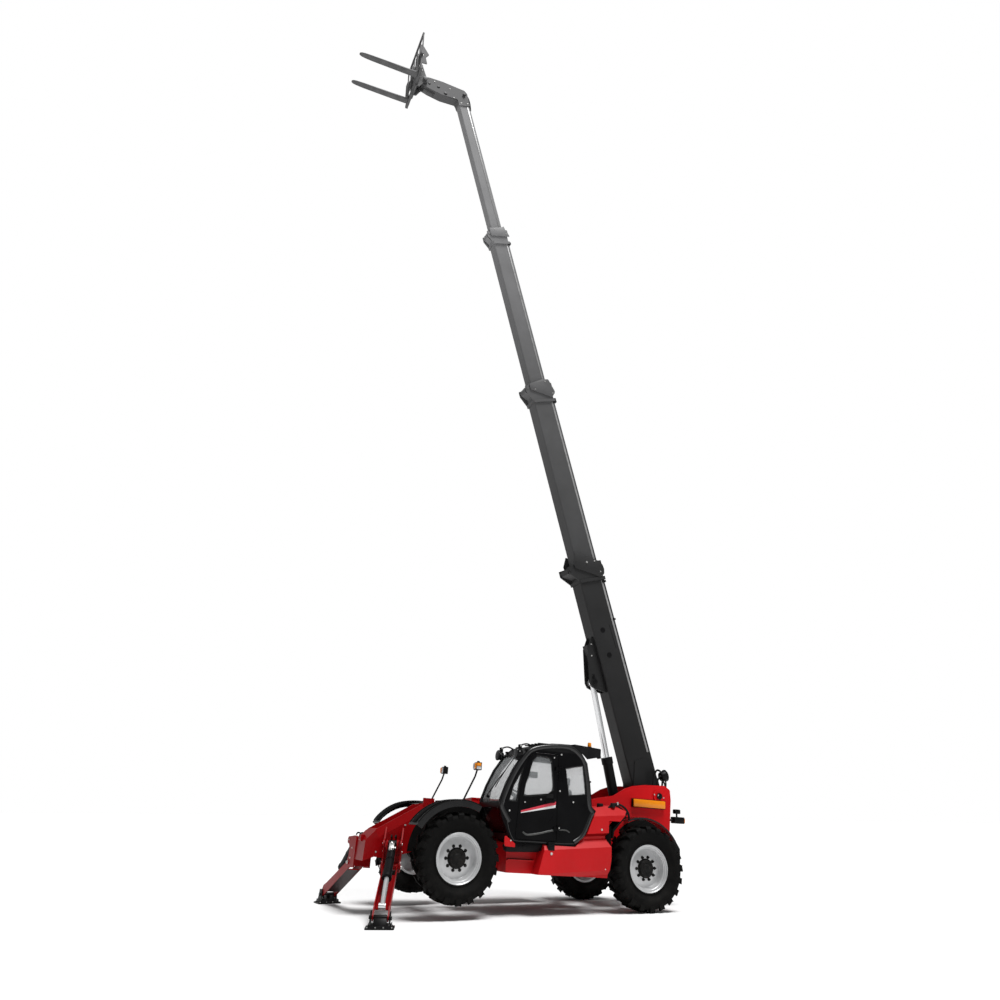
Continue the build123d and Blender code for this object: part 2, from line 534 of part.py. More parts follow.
# ---- left side tank with its step, and the engine bay with its hood on the right ----
TANK_IN = 560
TANK_OUT = 1170
relief = [bar_z(axle_x, KINGPIN_Y, SWING_R, 0, 2 * TYRE_R + 30) for axle_x in (0, FRONT)]
STEP_IN = 950
tank = soft_slab(
    [(704, 442), (FRONT - 800, 442), (FRONT - 790, 838),
     (CAB_X - 1210, 838), (CAB_X - 1395, 985), (CAB_X - 1500, 1235), (CAB_X - 1530, 1390), (553, 1458),
     (340, 1382), (600, 1105), (612, 990), (628, 870)],
    TANK_IN, TANK_OUT, 12)
# Folded section: plumb panels joined by bands that lean in, rising a little towards the rear.
FOLD_RISE = 5.2
fold_section = Polyline(
    (TANK_IN - 20, -500), (TANK_OUT - 45, -500), (TANK_OUT - 45, -395), (TANK_OUT, -330), (TANK_OUT, -20),
    (TANK_OUT - 100, 98), (TANK_OUT - 100, 132), (TANK_OUT - 40, 172), (TANK_OUT - 40, 412),
    (TANK_OUT - 190, 570), (TANK_OUT - 190, 800), (TANK_IN - 20, 800), close=True)
folded = Pos(1100, 0, 849) * Rot(0, FOLD_RISE, 0) * Pos(-1500, 0, 0) * extrude(
    Plane.YZ * make_face(fold_section), amount=3200)
tank = tank & folded
tank = cut_all(tank, relief)
cab_room = offset(cab_sketch, 12)
tank -= Pos(0, TANK_OUT + 1, 0) * extrude(Plane.XZ * cab_room, amount=TANK_OUT, dir=(0, -1, 0))
recess = slab([(1756, 822), (1864, 430), (FRONT, 430), (FRONT, 900), (1756, 900)], STEP_IN, TANK_OUT + 10)
tank -= recess
tank += block(1850, FRONT - 800, STEP_IN - 5, STEP_IN + 60, 606, 622)
corner = slab([(FRONT - 840, 785), (FRONT - 700, 790), (FRONT - 660, 830), (FRONT - 660, 920),
               (FRONT - 700, 926), (FRONT - 840, 832)], STEP_IN - 60, TANK_OUT - 20)
tank += cut_all(corner, relief)
parts["side_tank"] = chassis_at * tank

BAY_FRONT = FRONT - 790
BAY_REAR = 800
BAY_SPLIT_Z = 1060
BAY_TOP_Z = 1470
SKIN = 20
bay = block(BAY_REAR, BAY_FRONT, -TANK_OUT, -TANK_IN, 500, BAY_SPLIT_Z)
bay += block(BAY_REAR, BAY_FRONT, -TANK_IN - SKIN, -TANK_IN, 500, BAY_TOP_Z - 30)
bay -= block(BAY_REAR + SKIN, BAY_FRONT - SKIN, -TANK_OUT + SKIN, -TANK_IN - SKIN,
             500 + SKIN, BAY_SPLIT_Z + 1)
bay = cut_all(bay, [mirrored(cutter) for cutter in relief])
engine = block(BAY_REAR + 180, BAY_FRONT - 200, -TANK_OUT + 120, -TANK_IN - 90, 500 + SKIN, 1330)
parts["engine_block"] = chassis_at * engine
HOOD_HINGE_Y = -TANK_IN + 8
HOOD_HINGE_Z = BAY_TOP_Z - 10
hood_section = Polyline(
    (-TANK_IN - RUN_GAP, BAY_TOP_Z), (-TANK_IN - RUN_GAP, BAY_TOP_Z - SKIN),
    (-TANK_OUT + 160, BAY_TOP_Z - SKIN - 30),
    (-TANK_OUT + SKIN, BAY_TOP_Z - 170), (-TANK_OUT + SKIN, BAY_SPLIT_Z + RUN_GAP),
    (-TANK_OUT, BAY_SPLIT_Z + RUN_GAP), (-TANK_OUT, BAY_TOP_Z - 160), (-TANK_OUT + 150, BAY_TOP_Z - 20),
    close=True)
hood_end = Polyline(
    (-TANK_IN - SKIN - RUN_GAP, BAY_TOP_Z - 10), (-TANK_OUT + 150, BAY_TOP_Z - 30),
    (-TANK_OUT + 5, BAY_TOP_Z - 165),
    (-TANK_OUT + 5, BAY_SPLIT_Z + RUN_GAP), (-TANK_IN - SKIN - RUN_GAP, BAY_SPLIT_Z + RUN_GAP), close=True)
hood = Pos(BAY_REAR, 0, 0) * extrude(Plane.YZ * make_face(hood_section), amount=BAY_FRONT - BAY_REAR)
for x_low in (BAY_REAR, BAY_FRONT - SKIN):
    hood += Pos(x_low, 0, 0) * extrude(Plane.YZ * make_face(hood_end), amount=SKIN)
for hinge_x in (BAY_REAR + 150, (BAY_REAR + BAY_FRONT) / 2, BAY_FRONT - 150):
    for x_low in (hinge_x - 52, hinge_x + 32):
        bay += block(x_low, x_low + 20, -TANK_IN - 2, HOOD_HINGE_Y + 12, BAY_TOP_Z - 90, HOOD_HINGE_Z + 8)
    bay += bar_x(HOOD_HINGE_Y, HOOD_HINGE_Z, HINGE_PIN_R, hinge_x - 45, hinge_x + 45)
    leaf = block(hinge_x - 30, hinge_x + 30, -TANK_IN - 20, HOOD_HINGE_Y, HOOD_HINGE_Z - 6, HOOD_HINGE_Z + 6)
    leaf += bar_x(HOOD_HINGE_Y, HOOD_HINGE_Z, 12, hinge_x - 30, hinge_x + 30)
    hood += leaf
    hood -= bar_x(HOOD_HINGE_Y, HOOD_HINGE_Z, HINGE_PIN_R + 0.5, hinge_x - 31, hinge_x + 31)
parts["engine_bay"] = chassis_at * bay
parts["engine_hood"] = chassis_at * hood

# ---- boom: four nested sections, each with a head collar ----
section_rows = (
    # name, half width, low n, high n, root s, tip s, collar from, collar to, lug depth
    ("boom_section_1", 165, -270, 250, -300, 4140, 3800, 4160, 190),
    ("boom_section_2", 137, -238, 222, 3350, 7810, 7430, 7830, 120),
    ("boom_section_3", 110, -205, 160, 7040, 11385, 11065, 11400, 95),
    ("boom_section_4", 83, -165, 100, 10610, 14760, 0, 0, 0),
)
COLLAR_T = 26
bore_half = bore_low = bore_high = None
for name, half, low, high, root, tip, c_from, c_to, lug in section_rows:
    mid_n = (low + high) / 2
    tall = high - low
    outer = RectangleRounded(tall, 2 * half, BOOM_CORNER)
    inner = RectangleRounded(tall - 2 * BOOM_WALL, 2 * half - 2 * BOOM_WALL, BOOM_CORNER - BOOM_WALL)
    tube = extrude(Plane.YZ * (Rot(0, 0, 90) * (outer - inner)), amount=tip - root)
    section = Pos(root, 0, mid_n) * tube
    if bore_half:
        # Wear pads round the root, a hair short of the bore they slide in.
        pad_to = root + 150
        section += block(root + 10, pad_to, 50 - half, half - 50, high - 1, bore_high - WEAR_GAP)
        section += block(root + 10, pad_to, 50 - half, half - 50, bore_low + WEAR_GAP, low + 1)
        for y_low, y_high in ((half - 1, bore_half - WEAR_GAP), (WEAR_GAP - bore_half, 1 - half)):
            section += block(root + 10, pad_to, y_low, y_high, mid_n - 60, mid_n + 60)
    bore_half = half - BOOM_WALL
    bore_low = low + BOOM_WALL
    bore_high = high - BOOM_WALL
    if c_to:
        ring_out = RectangleRounded(tall + 2 * COLLAR_T, 2 * half + 2 * COLLAR_T, BOOM_CORNER + 8)
        ring_in = RectangleRounded(tall - 2, 2 * half - 2, BOOM_CORNER - 1)
        for at in (c_from, c_to - 60):
            ring = extrude(Plane.YZ * (Rot(0, 0, 90) * (ring_out - ring_in)), amount=60)
            section += Pos(at, 0, mid_n) * ring
        cheek = soft_slab(
            [(c_from + 10, high - 20), (c_to - 10, high - 20), (c_to - 10, low - 10), (c_to - 40, low - lug),
             (c_to - 150, low - lug), (c_from + 30, low - 10)], half - 1, half + 14, 10)
        section += cheek
        section += mirrored(cheek)
        shoe = slab([(c_to - 150, low - lug + 10), (c_to - 60, low - lug + 10), (c_to - 40, low + 2),
                     (c_to - 260, low + 2)], -half + 40, half - 40)
        section += shoe
        section += bar_y(c_to - 90, low - lug + 45, 32, -half - 22, half + 22)
    parts[name] = section

base = parts["boom_section_1"]
base += bar_y(0, 0, 98, -TOWER_Y + FRAME_PLATE + RUN_GAP, TOWER_Y - FRAME_PLATE - RUN_GAP)
for y_low in (-177, 163):
    foot = [(-290, 230), (-290, -250), (250, -262), (620, -120), (620, 60), (240, 240)]
    base += soft_slab(foot, y_low, y_low + 14, 25)
base -= bar_y(0, 0, PIVOT_PIN_R + PIN_GAP, -TOWER_Y, TOWER_Y)
bracket = [
    (1820, -262), (1930, -470), (1980, -535), (2060, -555), (2150, -535), (2640, -420), (2860, -262),
]
BRACKET_IN = 72
for y_low in (-BRACKET_IN - 20, BRACKET_IN):
    base += soft_slab(bracket, y_low, y_low + 20, 15)
base += block(2230, 2700, -BRACKET_IN - 10, BRACKET_IN + 10, -415, -262)
for y_low in (-BRACKET_IN - 34, BRACKET_IN + 19):
    base += bar_y(LIFT_EYE_S, LIFT_EYE_N, 60, y_low, y_low + 15)
parts["boom_section_1"] = boom_at * base
for name in ("boom_section_2", "boom_section_3"):
    parts[name] = boom_at * parts[name]

# Head of the last section: two side plates reach forward to the carriage's pivot.
JIB_IN = 81
JIB_T = 18
jib_outline = [
    (14640, 96), (14980, 104), (15060, 60), (15100, -60), (15222, -420), (15284, -700), (15292, -860),
    (15262, -950), (15180, -985), (15100, -960), (14990, -800), (14860, -520), (14790, -170), (14640, -160),
]
head = parts["boom_section_4"]
for y_low in (-JIB_IN - JIB_T, JIB_IN):
    head += soft_slab(jib_outline, y_low, y_low + JIB_T, 25)
head += slab([(14700, -156), (14800, -180), (14882, -520), (14944, -650), (14926, -660), (14862, -525),
              (14784, -196), (14700, -162)], -JIB_IN - 5, JIB_IN + 5)
head += slab([(15046, 40), (15086, -66), (15126, -182), (15110, -190), (15070, -74), (15030, 32)],
             -JIB_IN - 5, JIB_IN + 5)
head += bar_y(TILT_BASE_S, TILT_BASE_N, 26, -JIB_IN - 35, JIB_IN + 35)
head -= bar_y(CARRIAGE_S, CARRIAGE_N, 38 + PIN_GAP, -200, 200)
parts["boom_section_4"] = boom_at * head

# ---- fork carriage, backrest and tines ----
PLATE_IN = 118
LEVER_IN = 38
carriage_outline = [
    (-72, -30), (-60, 50), (-20, 90), (60, 330), (130, 410), (200, 410), (200, -270), (110, -250),
    (20, -90), (-40, -72),
]
FACE_X = 230
carriage = bar_y(0, 0, 38, -PLATE_IN - 40, PLATE_IN + 40)
for y_low in (-PLATE_IN - 20, PLATE_IN):
    carriage += soft_slab(carriage_outline, y_low, y_low + 20, 18)
carriage += block(165, 200, -PLATE_IN - 10, PLATE_IN + 10, -250, 400)
carriage += block(175, FACE_X, -CARRIAGE_HALF, CARRIAGE_HALF, 210, 300)
carriage += block(175, FACE_X, -CARRIAGE_HALF, CARRIAGE_HALF, -230, -140)
for y in (-500, -210, 210, 500):
    carriage += block(185, FACE_X - 10, y - 15, y + 15, -150, 220)
for y in (-545, -325, -110, 110, 325, 545):
    carriage += block(190, 215, y - 12, y + 12, 290, BACKREST_TOP - 10)
carriage += block(185, 220, -CARRIAGE_HALF, CARRIAGE_HALF, BACKREST_TOP - 40, BACKREST_TOP)
carriage -= block(160, 205, -LEVER_IN - 6, LEVER_IN + 6, 100, 345)
lever_x = TILT_LEVER * cos(radians(TILT_LEVER_ANGLE))
lever_z = TILT_LEVER * sin(radians(TILT_LEVER_ANGLE))
for y_low in (-LEVER_IN - 18, LEVER_IN):
    carriage += soft_slab([(lever_x - 62, lever_z - 50), (lever_x - 55, lever_z + 60), (170, 330), (170, 60)],
                          y_low, y_low + 18, 18)
for side_name, side in SIDES:
    low, high = sorted((side * 285, side * 305))
    ear_plate = [(190, 240), (190, 760), (140, 770), (-10, 540), (60, 430), (20, 260)]
    carriage += soft_slab(ear_plate, low, high, 12)
parts["fork_carriage"] = carriage_at * carriage
tines = []
for side_name, side in SIDES:
    y = side * FORK_Y
    tine = slab([(FACE_X, 300), (FACE_X + FORK_THICK, 300), (FACE_X + FORK_THICK, -200),
                 (FACE_X + FORK_THICK + FORK_LENGTH, -200), (FACE_X + FORK_THICK + FORK_LENGTH, -212),
                 (FACE_X + 60, -250), (FACE_X, -250)], y - FORK_WIDTH / 2, y + FORK_WIDTH / 2)
    tines.append(tine)
parts["fork_tines"] = group(carriage_at, tines)

# ---- cylinders: each barrel and rod runs along its own X from the base pin ----
barrel = bar_x(0, 0, LIFT_BARREL_R, 70, LIFT_BARREL_L)
barrel += bar_x(0, 0, LIFT_BARREL_R + 12, LIFT_BARREL_L - 110, LIFT_BARREL_L)
barrel += bar_y(0, 0, 78, -58, 58)
barrel -= bar_x(0, 0, LIFT_ROD_R + PIN_GAP, 180, LIFT_BARREL_L + 1)
barrel -= bar_y(0, 0, LIFT_PIN_R + PIN_GAP, -80, 80)
parts["lift_cylinder_barrel"] = lift_at * barrel
rod = bar_x(0, 0, LIFT_ROD_R, LIFT_LENGTH - 1290, LIFT_LENGTH - 40) + bar_y(LIFT_LENGTH, 0, 66, -62, 62)
parts["lift_cylinder_rod"] = lift_at * rod
barrel = bar_x(0, 0, TILT_BARREL_R, 45, TILT_BARREL_L) + bar_y(0, 0, 46, -40, 40)
barrel -= bar_x(0, 0, TILT_ROD_R + PIN_GAP, 80, TILT_BARREL_L + 1)
barrel -= bar_y(0, 0, 26 + PIN_GAP, -80, 80)
parts["tilt_cylinder_barrel"] = tilt_at * barrel
rod = bar_x(0, 0, TILT_ROD_R, TILT_LENGTH - 600, TILT_LENGTH - 20) + bar_y(TILT_LENGTH, 0, 40, -28, 28)
parts["tilt_cylinder_rod"] = tilt_at * rod

# ---- stabilisers ----
LEG_EYE_BACK = 150
LEG_EYE_UP = 62
drop = radians(LEG_DROP)
eye_along = LEG_LENGTH - LEG_EYE_BACK
LEG_EYE_U = eye_along * cos(drop) + LEG_EYE_UP * sin(drop)
LEG_EYE_W = -eye_along * sin(drop) + LEG_EYE_UP * cos(drop)
LEG_CYL_LENGTH = hypot(LEG_EYE_U - LEG_CYL_U, LEG_EYE_W - LEG_CYL_W)
LEG_CYL_SLOPE = degrees(atan2(LEG_EYE_W - LEG_CYL_W, LEG_EYE_U - LEG_CYL_U))
LEG_BARREL_R = 58
LEG_ROD_R = 32
LEG_BARREL_L = 690
PAD_PIN_R = 22
for side_name, side in SIDES:
    leg_here = chassis_at * leg_at[side_name]
    rails = []
    rail_outline = [(-45, -40), (-45, 40), (120, 62), (LEG_LENGTH - 230, 96), (LEG_LENGTH - 90, 110),
                    (LEG_LENGTH + 42, 40), (LEG_LENGTH + 42, -30), (LEG_LENGTH - 20, -42), (60, -62)]
    for v_low in (-LEG_HALF_W, LEG_HALF_W - LEG_RAIL):
        rails.append(soft_slab(rail_outline, v_low, v_low + LEG_RAIL, 12))
    rails.append(block(150, LEG_LENGTH - 260, -LEG_HALF_W + 5, LEG_HALF_W - 5, -52, -36))
    rails.append(bar_y(0, 0, 46, -LEG_HALF_W, LEG_HALF_W))
    leg = fuse(rails)
    leg -= bar_y(0, 0, 30 + PIN_GAP, -LEG_HALF_W - 1, LEG_HALF_W + 1)
    leg -= bar_y(LEG_LENGTH, 0, PAD_PIN_R + PIN_GAP, -LEG_HALF_W - 1, LEG_HALF_W + 1)
    parts["stabiliser_leg_" + side_name] = leg_here * Rot(0, LEG_DROP, 0) * leg
    cylinder_at = leg_here * Pos(LEG_CYL_U, 0, LEG_CYL_W) * Rot(0, -LEG_CYL_SLOPE, 0)
    barrel = bar_x(0, 0, LEG_BARREL_R, 40, LEG_BARREL_L) + bar_y(0, 0, 52, -56, 56)
    barrel -= bar_x(0, 0, LEG_ROD_R + PIN_GAP, 120, LEG_BARREL_L + 1)
    barrel -= bar_y(0, 0, 24 + PIN_GAP, -70, 70)
    parts["stabiliser_barrel_" + side_name] = cylinder_at * barrel
    rod = bar_x(0, 0, LEG_ROD_R, LEG_CYL_LENGTH - 680, LEG_CYL_LENGTH - 20)
    rod += bar_y(LEG_CYL_LENGTH, 0, 40, -45, 45)
    parts["stabiliser_rod_" + side_name] = cylinder_at * rod
    foot_at = leg_here * Rot(0, LEG_DROP, 0) * Pos(LEG_LENGTH, 0, 0) * Rot(0, -LEG_DROP, 0)
    ears = foot_at * bar_y(0, 0, PAD_PIN_R, -LEG_HALF_W - 40, LEG_HALF_W + 40)
    for v_low in (-LEG_HALF_W - RUN_GAP - 16, LEG_HALF_W + RUN_GAP):
        ears += foot_at * soft_slab([(-118, -96), (118, -96), (84, -52), (44, 76), (-44, 76), (-84, -52)],
                                    v_low, v_low + 16, 12)
    sole_at = Pos(foot_at.position.X, foot_at.position.Y, 0) * Rot(0, 0, side * (90 - LEG_SPLAY[side_name]))
    sole = extrude(RectangleRounded(2 * PAD_LONG, 2 * PAD_WIDE, 24), amount=18)
    boot = loft([Pos(0, 0, 10) * Rectangle(2 * PAD_LONG - 22, 2 * PAD_WIDE - 22),
                 Pos(0, 0, 54) * Rectangle(134, 2 * (LEG_HALF_W + RUN_GAP + 13))])
    parts["stabiliser_pad_" + side_name] = sole_at * (sole + boot) + ears

# ---- origin at the bottom centre of the whole machine ----
low_x = min(part.bounding_box().min.X for part in parts.values())
high_x = max(part.bounding_box().max.X for part in parts.values())
ORIGIN_X = (low_x + high_x) / 2

if __name__ == "__main__":
    os.makedirs("parts", exist_ok=True)
    for name, shape in parts.items():
        export_step(Pos(-ORIGIN_X, 0, 0) * shape, "parts/" + name + ".step")
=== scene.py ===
import math

import bmesh
import bpy
from mathutils import Matrix, Vector
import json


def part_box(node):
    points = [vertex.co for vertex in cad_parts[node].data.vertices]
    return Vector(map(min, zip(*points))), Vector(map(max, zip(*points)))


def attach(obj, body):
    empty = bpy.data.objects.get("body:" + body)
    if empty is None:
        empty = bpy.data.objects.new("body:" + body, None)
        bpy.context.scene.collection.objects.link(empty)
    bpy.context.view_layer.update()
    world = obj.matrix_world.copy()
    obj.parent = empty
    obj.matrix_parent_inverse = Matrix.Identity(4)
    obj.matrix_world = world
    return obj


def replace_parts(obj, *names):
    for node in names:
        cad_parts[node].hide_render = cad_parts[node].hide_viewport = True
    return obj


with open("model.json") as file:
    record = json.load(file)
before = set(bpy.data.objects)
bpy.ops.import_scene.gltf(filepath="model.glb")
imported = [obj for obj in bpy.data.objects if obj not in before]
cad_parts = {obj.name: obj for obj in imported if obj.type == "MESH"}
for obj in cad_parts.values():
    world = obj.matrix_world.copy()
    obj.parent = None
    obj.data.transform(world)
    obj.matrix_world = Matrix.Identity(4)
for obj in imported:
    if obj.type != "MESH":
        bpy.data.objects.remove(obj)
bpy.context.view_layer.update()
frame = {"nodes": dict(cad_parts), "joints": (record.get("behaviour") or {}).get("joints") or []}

# --- Tyres --------------------------------------------------------------------
# Industrial tyres of 1.2 m over the lugs. Each is moulded black rubber: a bulged
# wall with a rim rib, and two rows of slanted lugs that run down over the shoulder.


def centre_of(node):
    """The middle of a CAD node's box."""
    low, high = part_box(node)
    return (low + high) / 2


rear_hub = centre_of("tyre_rear_left")
front_hub = centre_of("tyre_front_left")
NOSE_UP = math.atan2(front_hub.z - rear_hub.z, front_hub.x - rear_hub.x)
WHEELBASE = (front_hub - rear_hub).length
ON_CHASSIS = (
    Matrix.Translation((rear_hub.x, 0, rear_hub.z))
    @ Matrix.Rotation(-NOSE_UP, 4, "Y")
    @ Matrix.Translation((0, 0, -rear_hub.z))
)
TYRE_RADIUS = 0.595
TYRE_HALF = 0.199
LUGS = 20


def finish(name, dark, light, rough, patch=3.0, grain=0.0, grain_size=0.004, metal=0.0,
           coat=0.0, specular=0.5, dust=0.0):
    """Colour that drifts between two shades, uneven gloss, a fine grain and dust low down."""
    made = bpy.data.materials.new(name)
    made.use_nodes = True
    nodes, links = made.node_tree.nodes, made.node_tree.links
    shader = nodes["Principled BSDF"]
    shader.inputs["Metallic"].default_value = metal
    shader.inputs["Coat Weight"].default_value = coat
    shader.inputs["Coat Roughness"].default_value = 0.12
    shader.inputs["Specular IOR Level"].default_value = specular
    place = nodes.new("ShaderNodeTexCoord").outputs["Object"]
    clouds = nodes.new("ShaderNodeTexNoise")
    clouds.inputs["Scale"].default_value = patch
    clouds.inputs["Detail"].default_value = 8
    clouds.inputs["Roughness"].default_value = 0.62
    links.new(place, clouds.inputs["Vector"])
    shades = nodes.new("ShaderNodeValToRGB")
    shades.color_ramp.elements[0].position = 0.3
    shades.color_ramp.elements[0].color = (*dark, 1)
    shades.color_ramp.elements[1].position = 0.72
    shades.color_ramp.elements[1].color = (*light, 1)
    links.new(clouds.outputs["Fac"], shades.inputs["Fac"])
    colour = shades.outputs["Color"]
    gloss = nodes.new("ShaderNodeMapRange")
    gloss.inputs["From Min"].default_value = 0.3
    gloss.inputs["From Max"].default_value = 0.75
    gloss.inputs["To Min"].default_value = max(rough - 0.06, 0.03)
    gloss.inputs["To Max"].default_value = min(rough + 0.09, 1)
    links.new(clouds.outputs["Fac"], gloss.inputs["Value"])
    links.new(gloss.outputs["Result"], shader.inputs["Roughness"])
    if dust:
        height = nodes.new("ShaderNodeSeparateXYZ")
        links.new(place, height.inputs["Vector"])
        low_down = nodes.new("ShaderNodeMapRange")
        low_down.inputs["From Min"].default_value = 1.3
        low_down.inputs["From Max"].default_value = 0.1
        links.new(height.outputs["Z"], low_down.inputs["Value"])
        specks = nodes.new("ShaderNodeTexNoise")
        specks.inputs["Scale"].default_value = 14
        specks.inputs["Detail"].default_value = 10
        specks.inputs["Roughness"].default_value = 0.7
        links.new(place, specks.inputs["Vector"])
        share = nodes.new("ShaderNodeMapRange")
        share.inputs["From Min"].default_value = 0.42
        share.inputs["From Max"].default_value = 0.75
        share.inputs["To Max"].default_value = dust
        links.new(specks.outputs["Fac"], share.inputs["Value"])
        amount = nodes.new("ShaderNodeMath")
        amount.operation = "MULTIPLY"
        links.new(low_down.outputs["Result"], amount.inputs[0])
        links.new(share.outputs["Result"], amount.inputs[1])
        dusty = nodes.new("ShaderNodeMix")
        dusty.data_type = "RGBA"
        dusty.inputs["B"].default_value = (0.3, 0.26, 0.22, 1)
        links.new(amount.outputs["Value"], dusty.inputs["Factor"])
        links.new(colour, dusty.inputs["A"])
        colour = dusty.outputs["Result"]
    links.new(colour, shader.inputs["Base Color"])
    if grain:
        fine = nodes.new("ShaderNodeTexNoise")
        fine.inputs["Scale"].default_value = 1 / grain_size
        fine.inputs["Detail"].default_value = 3
        links.new(place, fine.inputs["Vector"])
        bump = nodes.new("ShaderNodeBump")
        bump.inputs["Strength"].default_value = grain
        bump.inputs["Distance"].default_value = grain_size / 4
        links.new(fine.outputs["Fac"], bump.inputs["Height"])
        links.new(bump.outputs["Normal"], shader.inputs["Normal"])
    return made


def piece(name, mesh_bm, body, material, place=None, smooth=32):
    """Puts a mesh in place, turns its faces outwards and hangs it on its body."""
    if place is not None:
        mesh_bm.transform(place)
    bmesh.ops.remove_doubles(mesh_bm, verts=mesh_bm.verts, dist=1e-5)
    bmesh.ops.recalc_face_normals(mesh_bm, faces=mesh_bm.faces)
    mesh = bpy.data.meshes.new(name)
    mesh_bm.to_mesh(mesh)
    mesh_bm.free()
    mesh.shade_smooth()
    mesh.set_sharp_from_angle(angle=math.radians(smooth))
    mesh.materials.append(material)
    made = bpy.data.objects.new(name, mesh)
    bpy.context.scene.collection.objects.link(made)
    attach(made, body)
    return made


def turned(mesh_bm, profile, steps, place=None):
    """A profile of (radius, height) pairs turned once round Z."""
    verts = [mesh_bm.verts.new((radius, 0, height)) for radius, height in profile]
    edges = [mesh_bm.edges.new(pair) for pair in zip(verts, verts[1:])]
    bmesh.ops.spin(mesh_bm, geom=verts + edges, cent=(0, 0, 0), axis=(0, 0, 1), steps=steps, angle=math.tau,
                   use_merge=True)
    if place is not None:
        whole = set(verts)
        todo = list(verts)
        while todo:
            for edge in todo.pop().link_edges:
                for vert in edge.verts:
                    if vert not in whole:
                        whole.add(vert)
                        todo.append(vert)
        bmesh.ops.transform(mesh_bm, matrix=place, verts=list(whole))


def round_row(shape, count):
    """Repeats a shape in a ring round Z."""
    bmesh.ops.spin(shape, geom=shape.verts[:] + shape.edges[:] + shape.faces[:], cent=(0, 0, 0),
                   axis=(0, 0, 1), steps=count - 1, angle=math.tau * (count - 1) / count, use_duplicate=True)
    return shape


rubber = finish("tyre_rubber", (0.0030, 0.0030, 0.0030), (0.0068, 0.0065, 0.0062), 0.66, patch=5,
                grain=0.35, grain_size=0.003, specular=0.06, dust=0.02)
wall_half = [
    (0.320, 0.128), (0.330, 0.150), (0.342, 0.158), (0.354, 0.157), (0.362, 0.149), (0.390, 0.159),
    (0.400, 0.166), (0.425, 0.178), (0.430, 0.183), (0.468, 0.1935), (0.505, 0.195), (0.512, 0.192),
    (0.540, 0.184), (0.556, 0.166), (0.562, 0.120), (0.565, 0.0),
]
wall = wall_half + [(radius, -height) for radius, height in wall_half[-2::-1]]
# Lug stations: place across the tread, place round it, half width, top radius, foot radius.
lug_stations = [
    (-0.010, 0.085, 0.020, 0.593, 0.555), (0.020, 0.074, 0.027, TYRE_RADIUS, 0.555),
    (0.080, 0.030, 0.031, TYRE_RADIUS, 0.555), (0.130, 0.006, 0.036, 0.594, 0.550),
    (0.168, 0.000, 0.040, 0.591, 0.535), (0.190, -0.002, 0.041, 0.580, 0.520),
    (TYRE_HALF, -0.004, 0.041, 0.558, 0.500), (0.198, -0.004, 0.036, 0.520, 0.490),
]


def lug_point(along, side, level):
    """Where a corner of the lug block lands once it is laid on the round tread."""
    across, round_by, half, top, foot = lug_stations[along]
    radius = top if level > 0 else foot
    if level < 0:
        across = min(across, 0.186)
    turn = (round_by + side * half * (1.0 if level > 0 else 1.16)) / TYRE_RADIUS
    return Vector((radius * math.cos(turn), radius * math.sin(turn), across))


tyre_shape = bmesh.new()
bmesh.ops.create_cube(tyre_shape, size=2)
for cut in range(1, len(lug_stations) - 1):
    bmesh.ops.bisect_plane(tyre_shape, geom=tyre_shape.verts[:] + tyre_shape.edges[:] + tyre_shape.faces[:],
                           plane_co=(2 * cut / (len(lug_stations) - 1) - 1, 0, 0), plane_no=(1, 0, 0))
for vert in tyre_shape.verts:
    station = round((vert.co.x + 1) / 2 * (len(lug_stations) - 1))
    vert.co = lug_point(station, vert.co.y, vert.co.z)
tops = [edge for edge in tyre_shape.edges if all(vert.co.xy.length > 0.515 for vert in edge.verts)
        and edge.calc_face_angle(0) > 0.7]
bmesh.ops.bevel(tyre_shape, geom=tops, offset=0.005, segments=1, profile=0.5, affect="EDGES", material=-1)
one_lug = tyre_shape.verts[:] + tyre_shape.edges[:] + tyre_shape.faces[:]
other = bmesh.ops.duplicate(tyre_shape, geom=one_lug)["geom"]
other_verts = [item for item in other if isinstance(item, bmesh.types.BMVert)]
bmesh.ops.scale(tyre_shape, vec=(1, 1, -1), verts=other_verts)
bmesh.ops.rotate(tyre_shape, verts=other_verts, matrix=Matrix.Rotation(math.pi / LUGS, 3, "Z"))
turned(round_row(tyre_shape, LUGS), wall, 96)
OUTWARD = {"left": Matrix.Rotation(-math.pi / 2, 4, "X"), "right": Matrix.Rotation(math.pi / 2, 4, "X")}
WHEELS = [(end, side) for end in ("front", "rear") for side in ("left", "right")]
for end, side in WHEELS:
    wheel = f"{end}_{side}"
    at_hub = Matrix.Translation(centre_of("tyre_" + wheel)) @ OUTWARD[side]
    made = piece("lugged_tyre_" + wheel, tyre_shape.copy(), "wheel_" + wheel, rubber, at_hub,
                 smooth=40)
    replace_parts(made, "tyre_" + wheel)
tyre_shape.free()

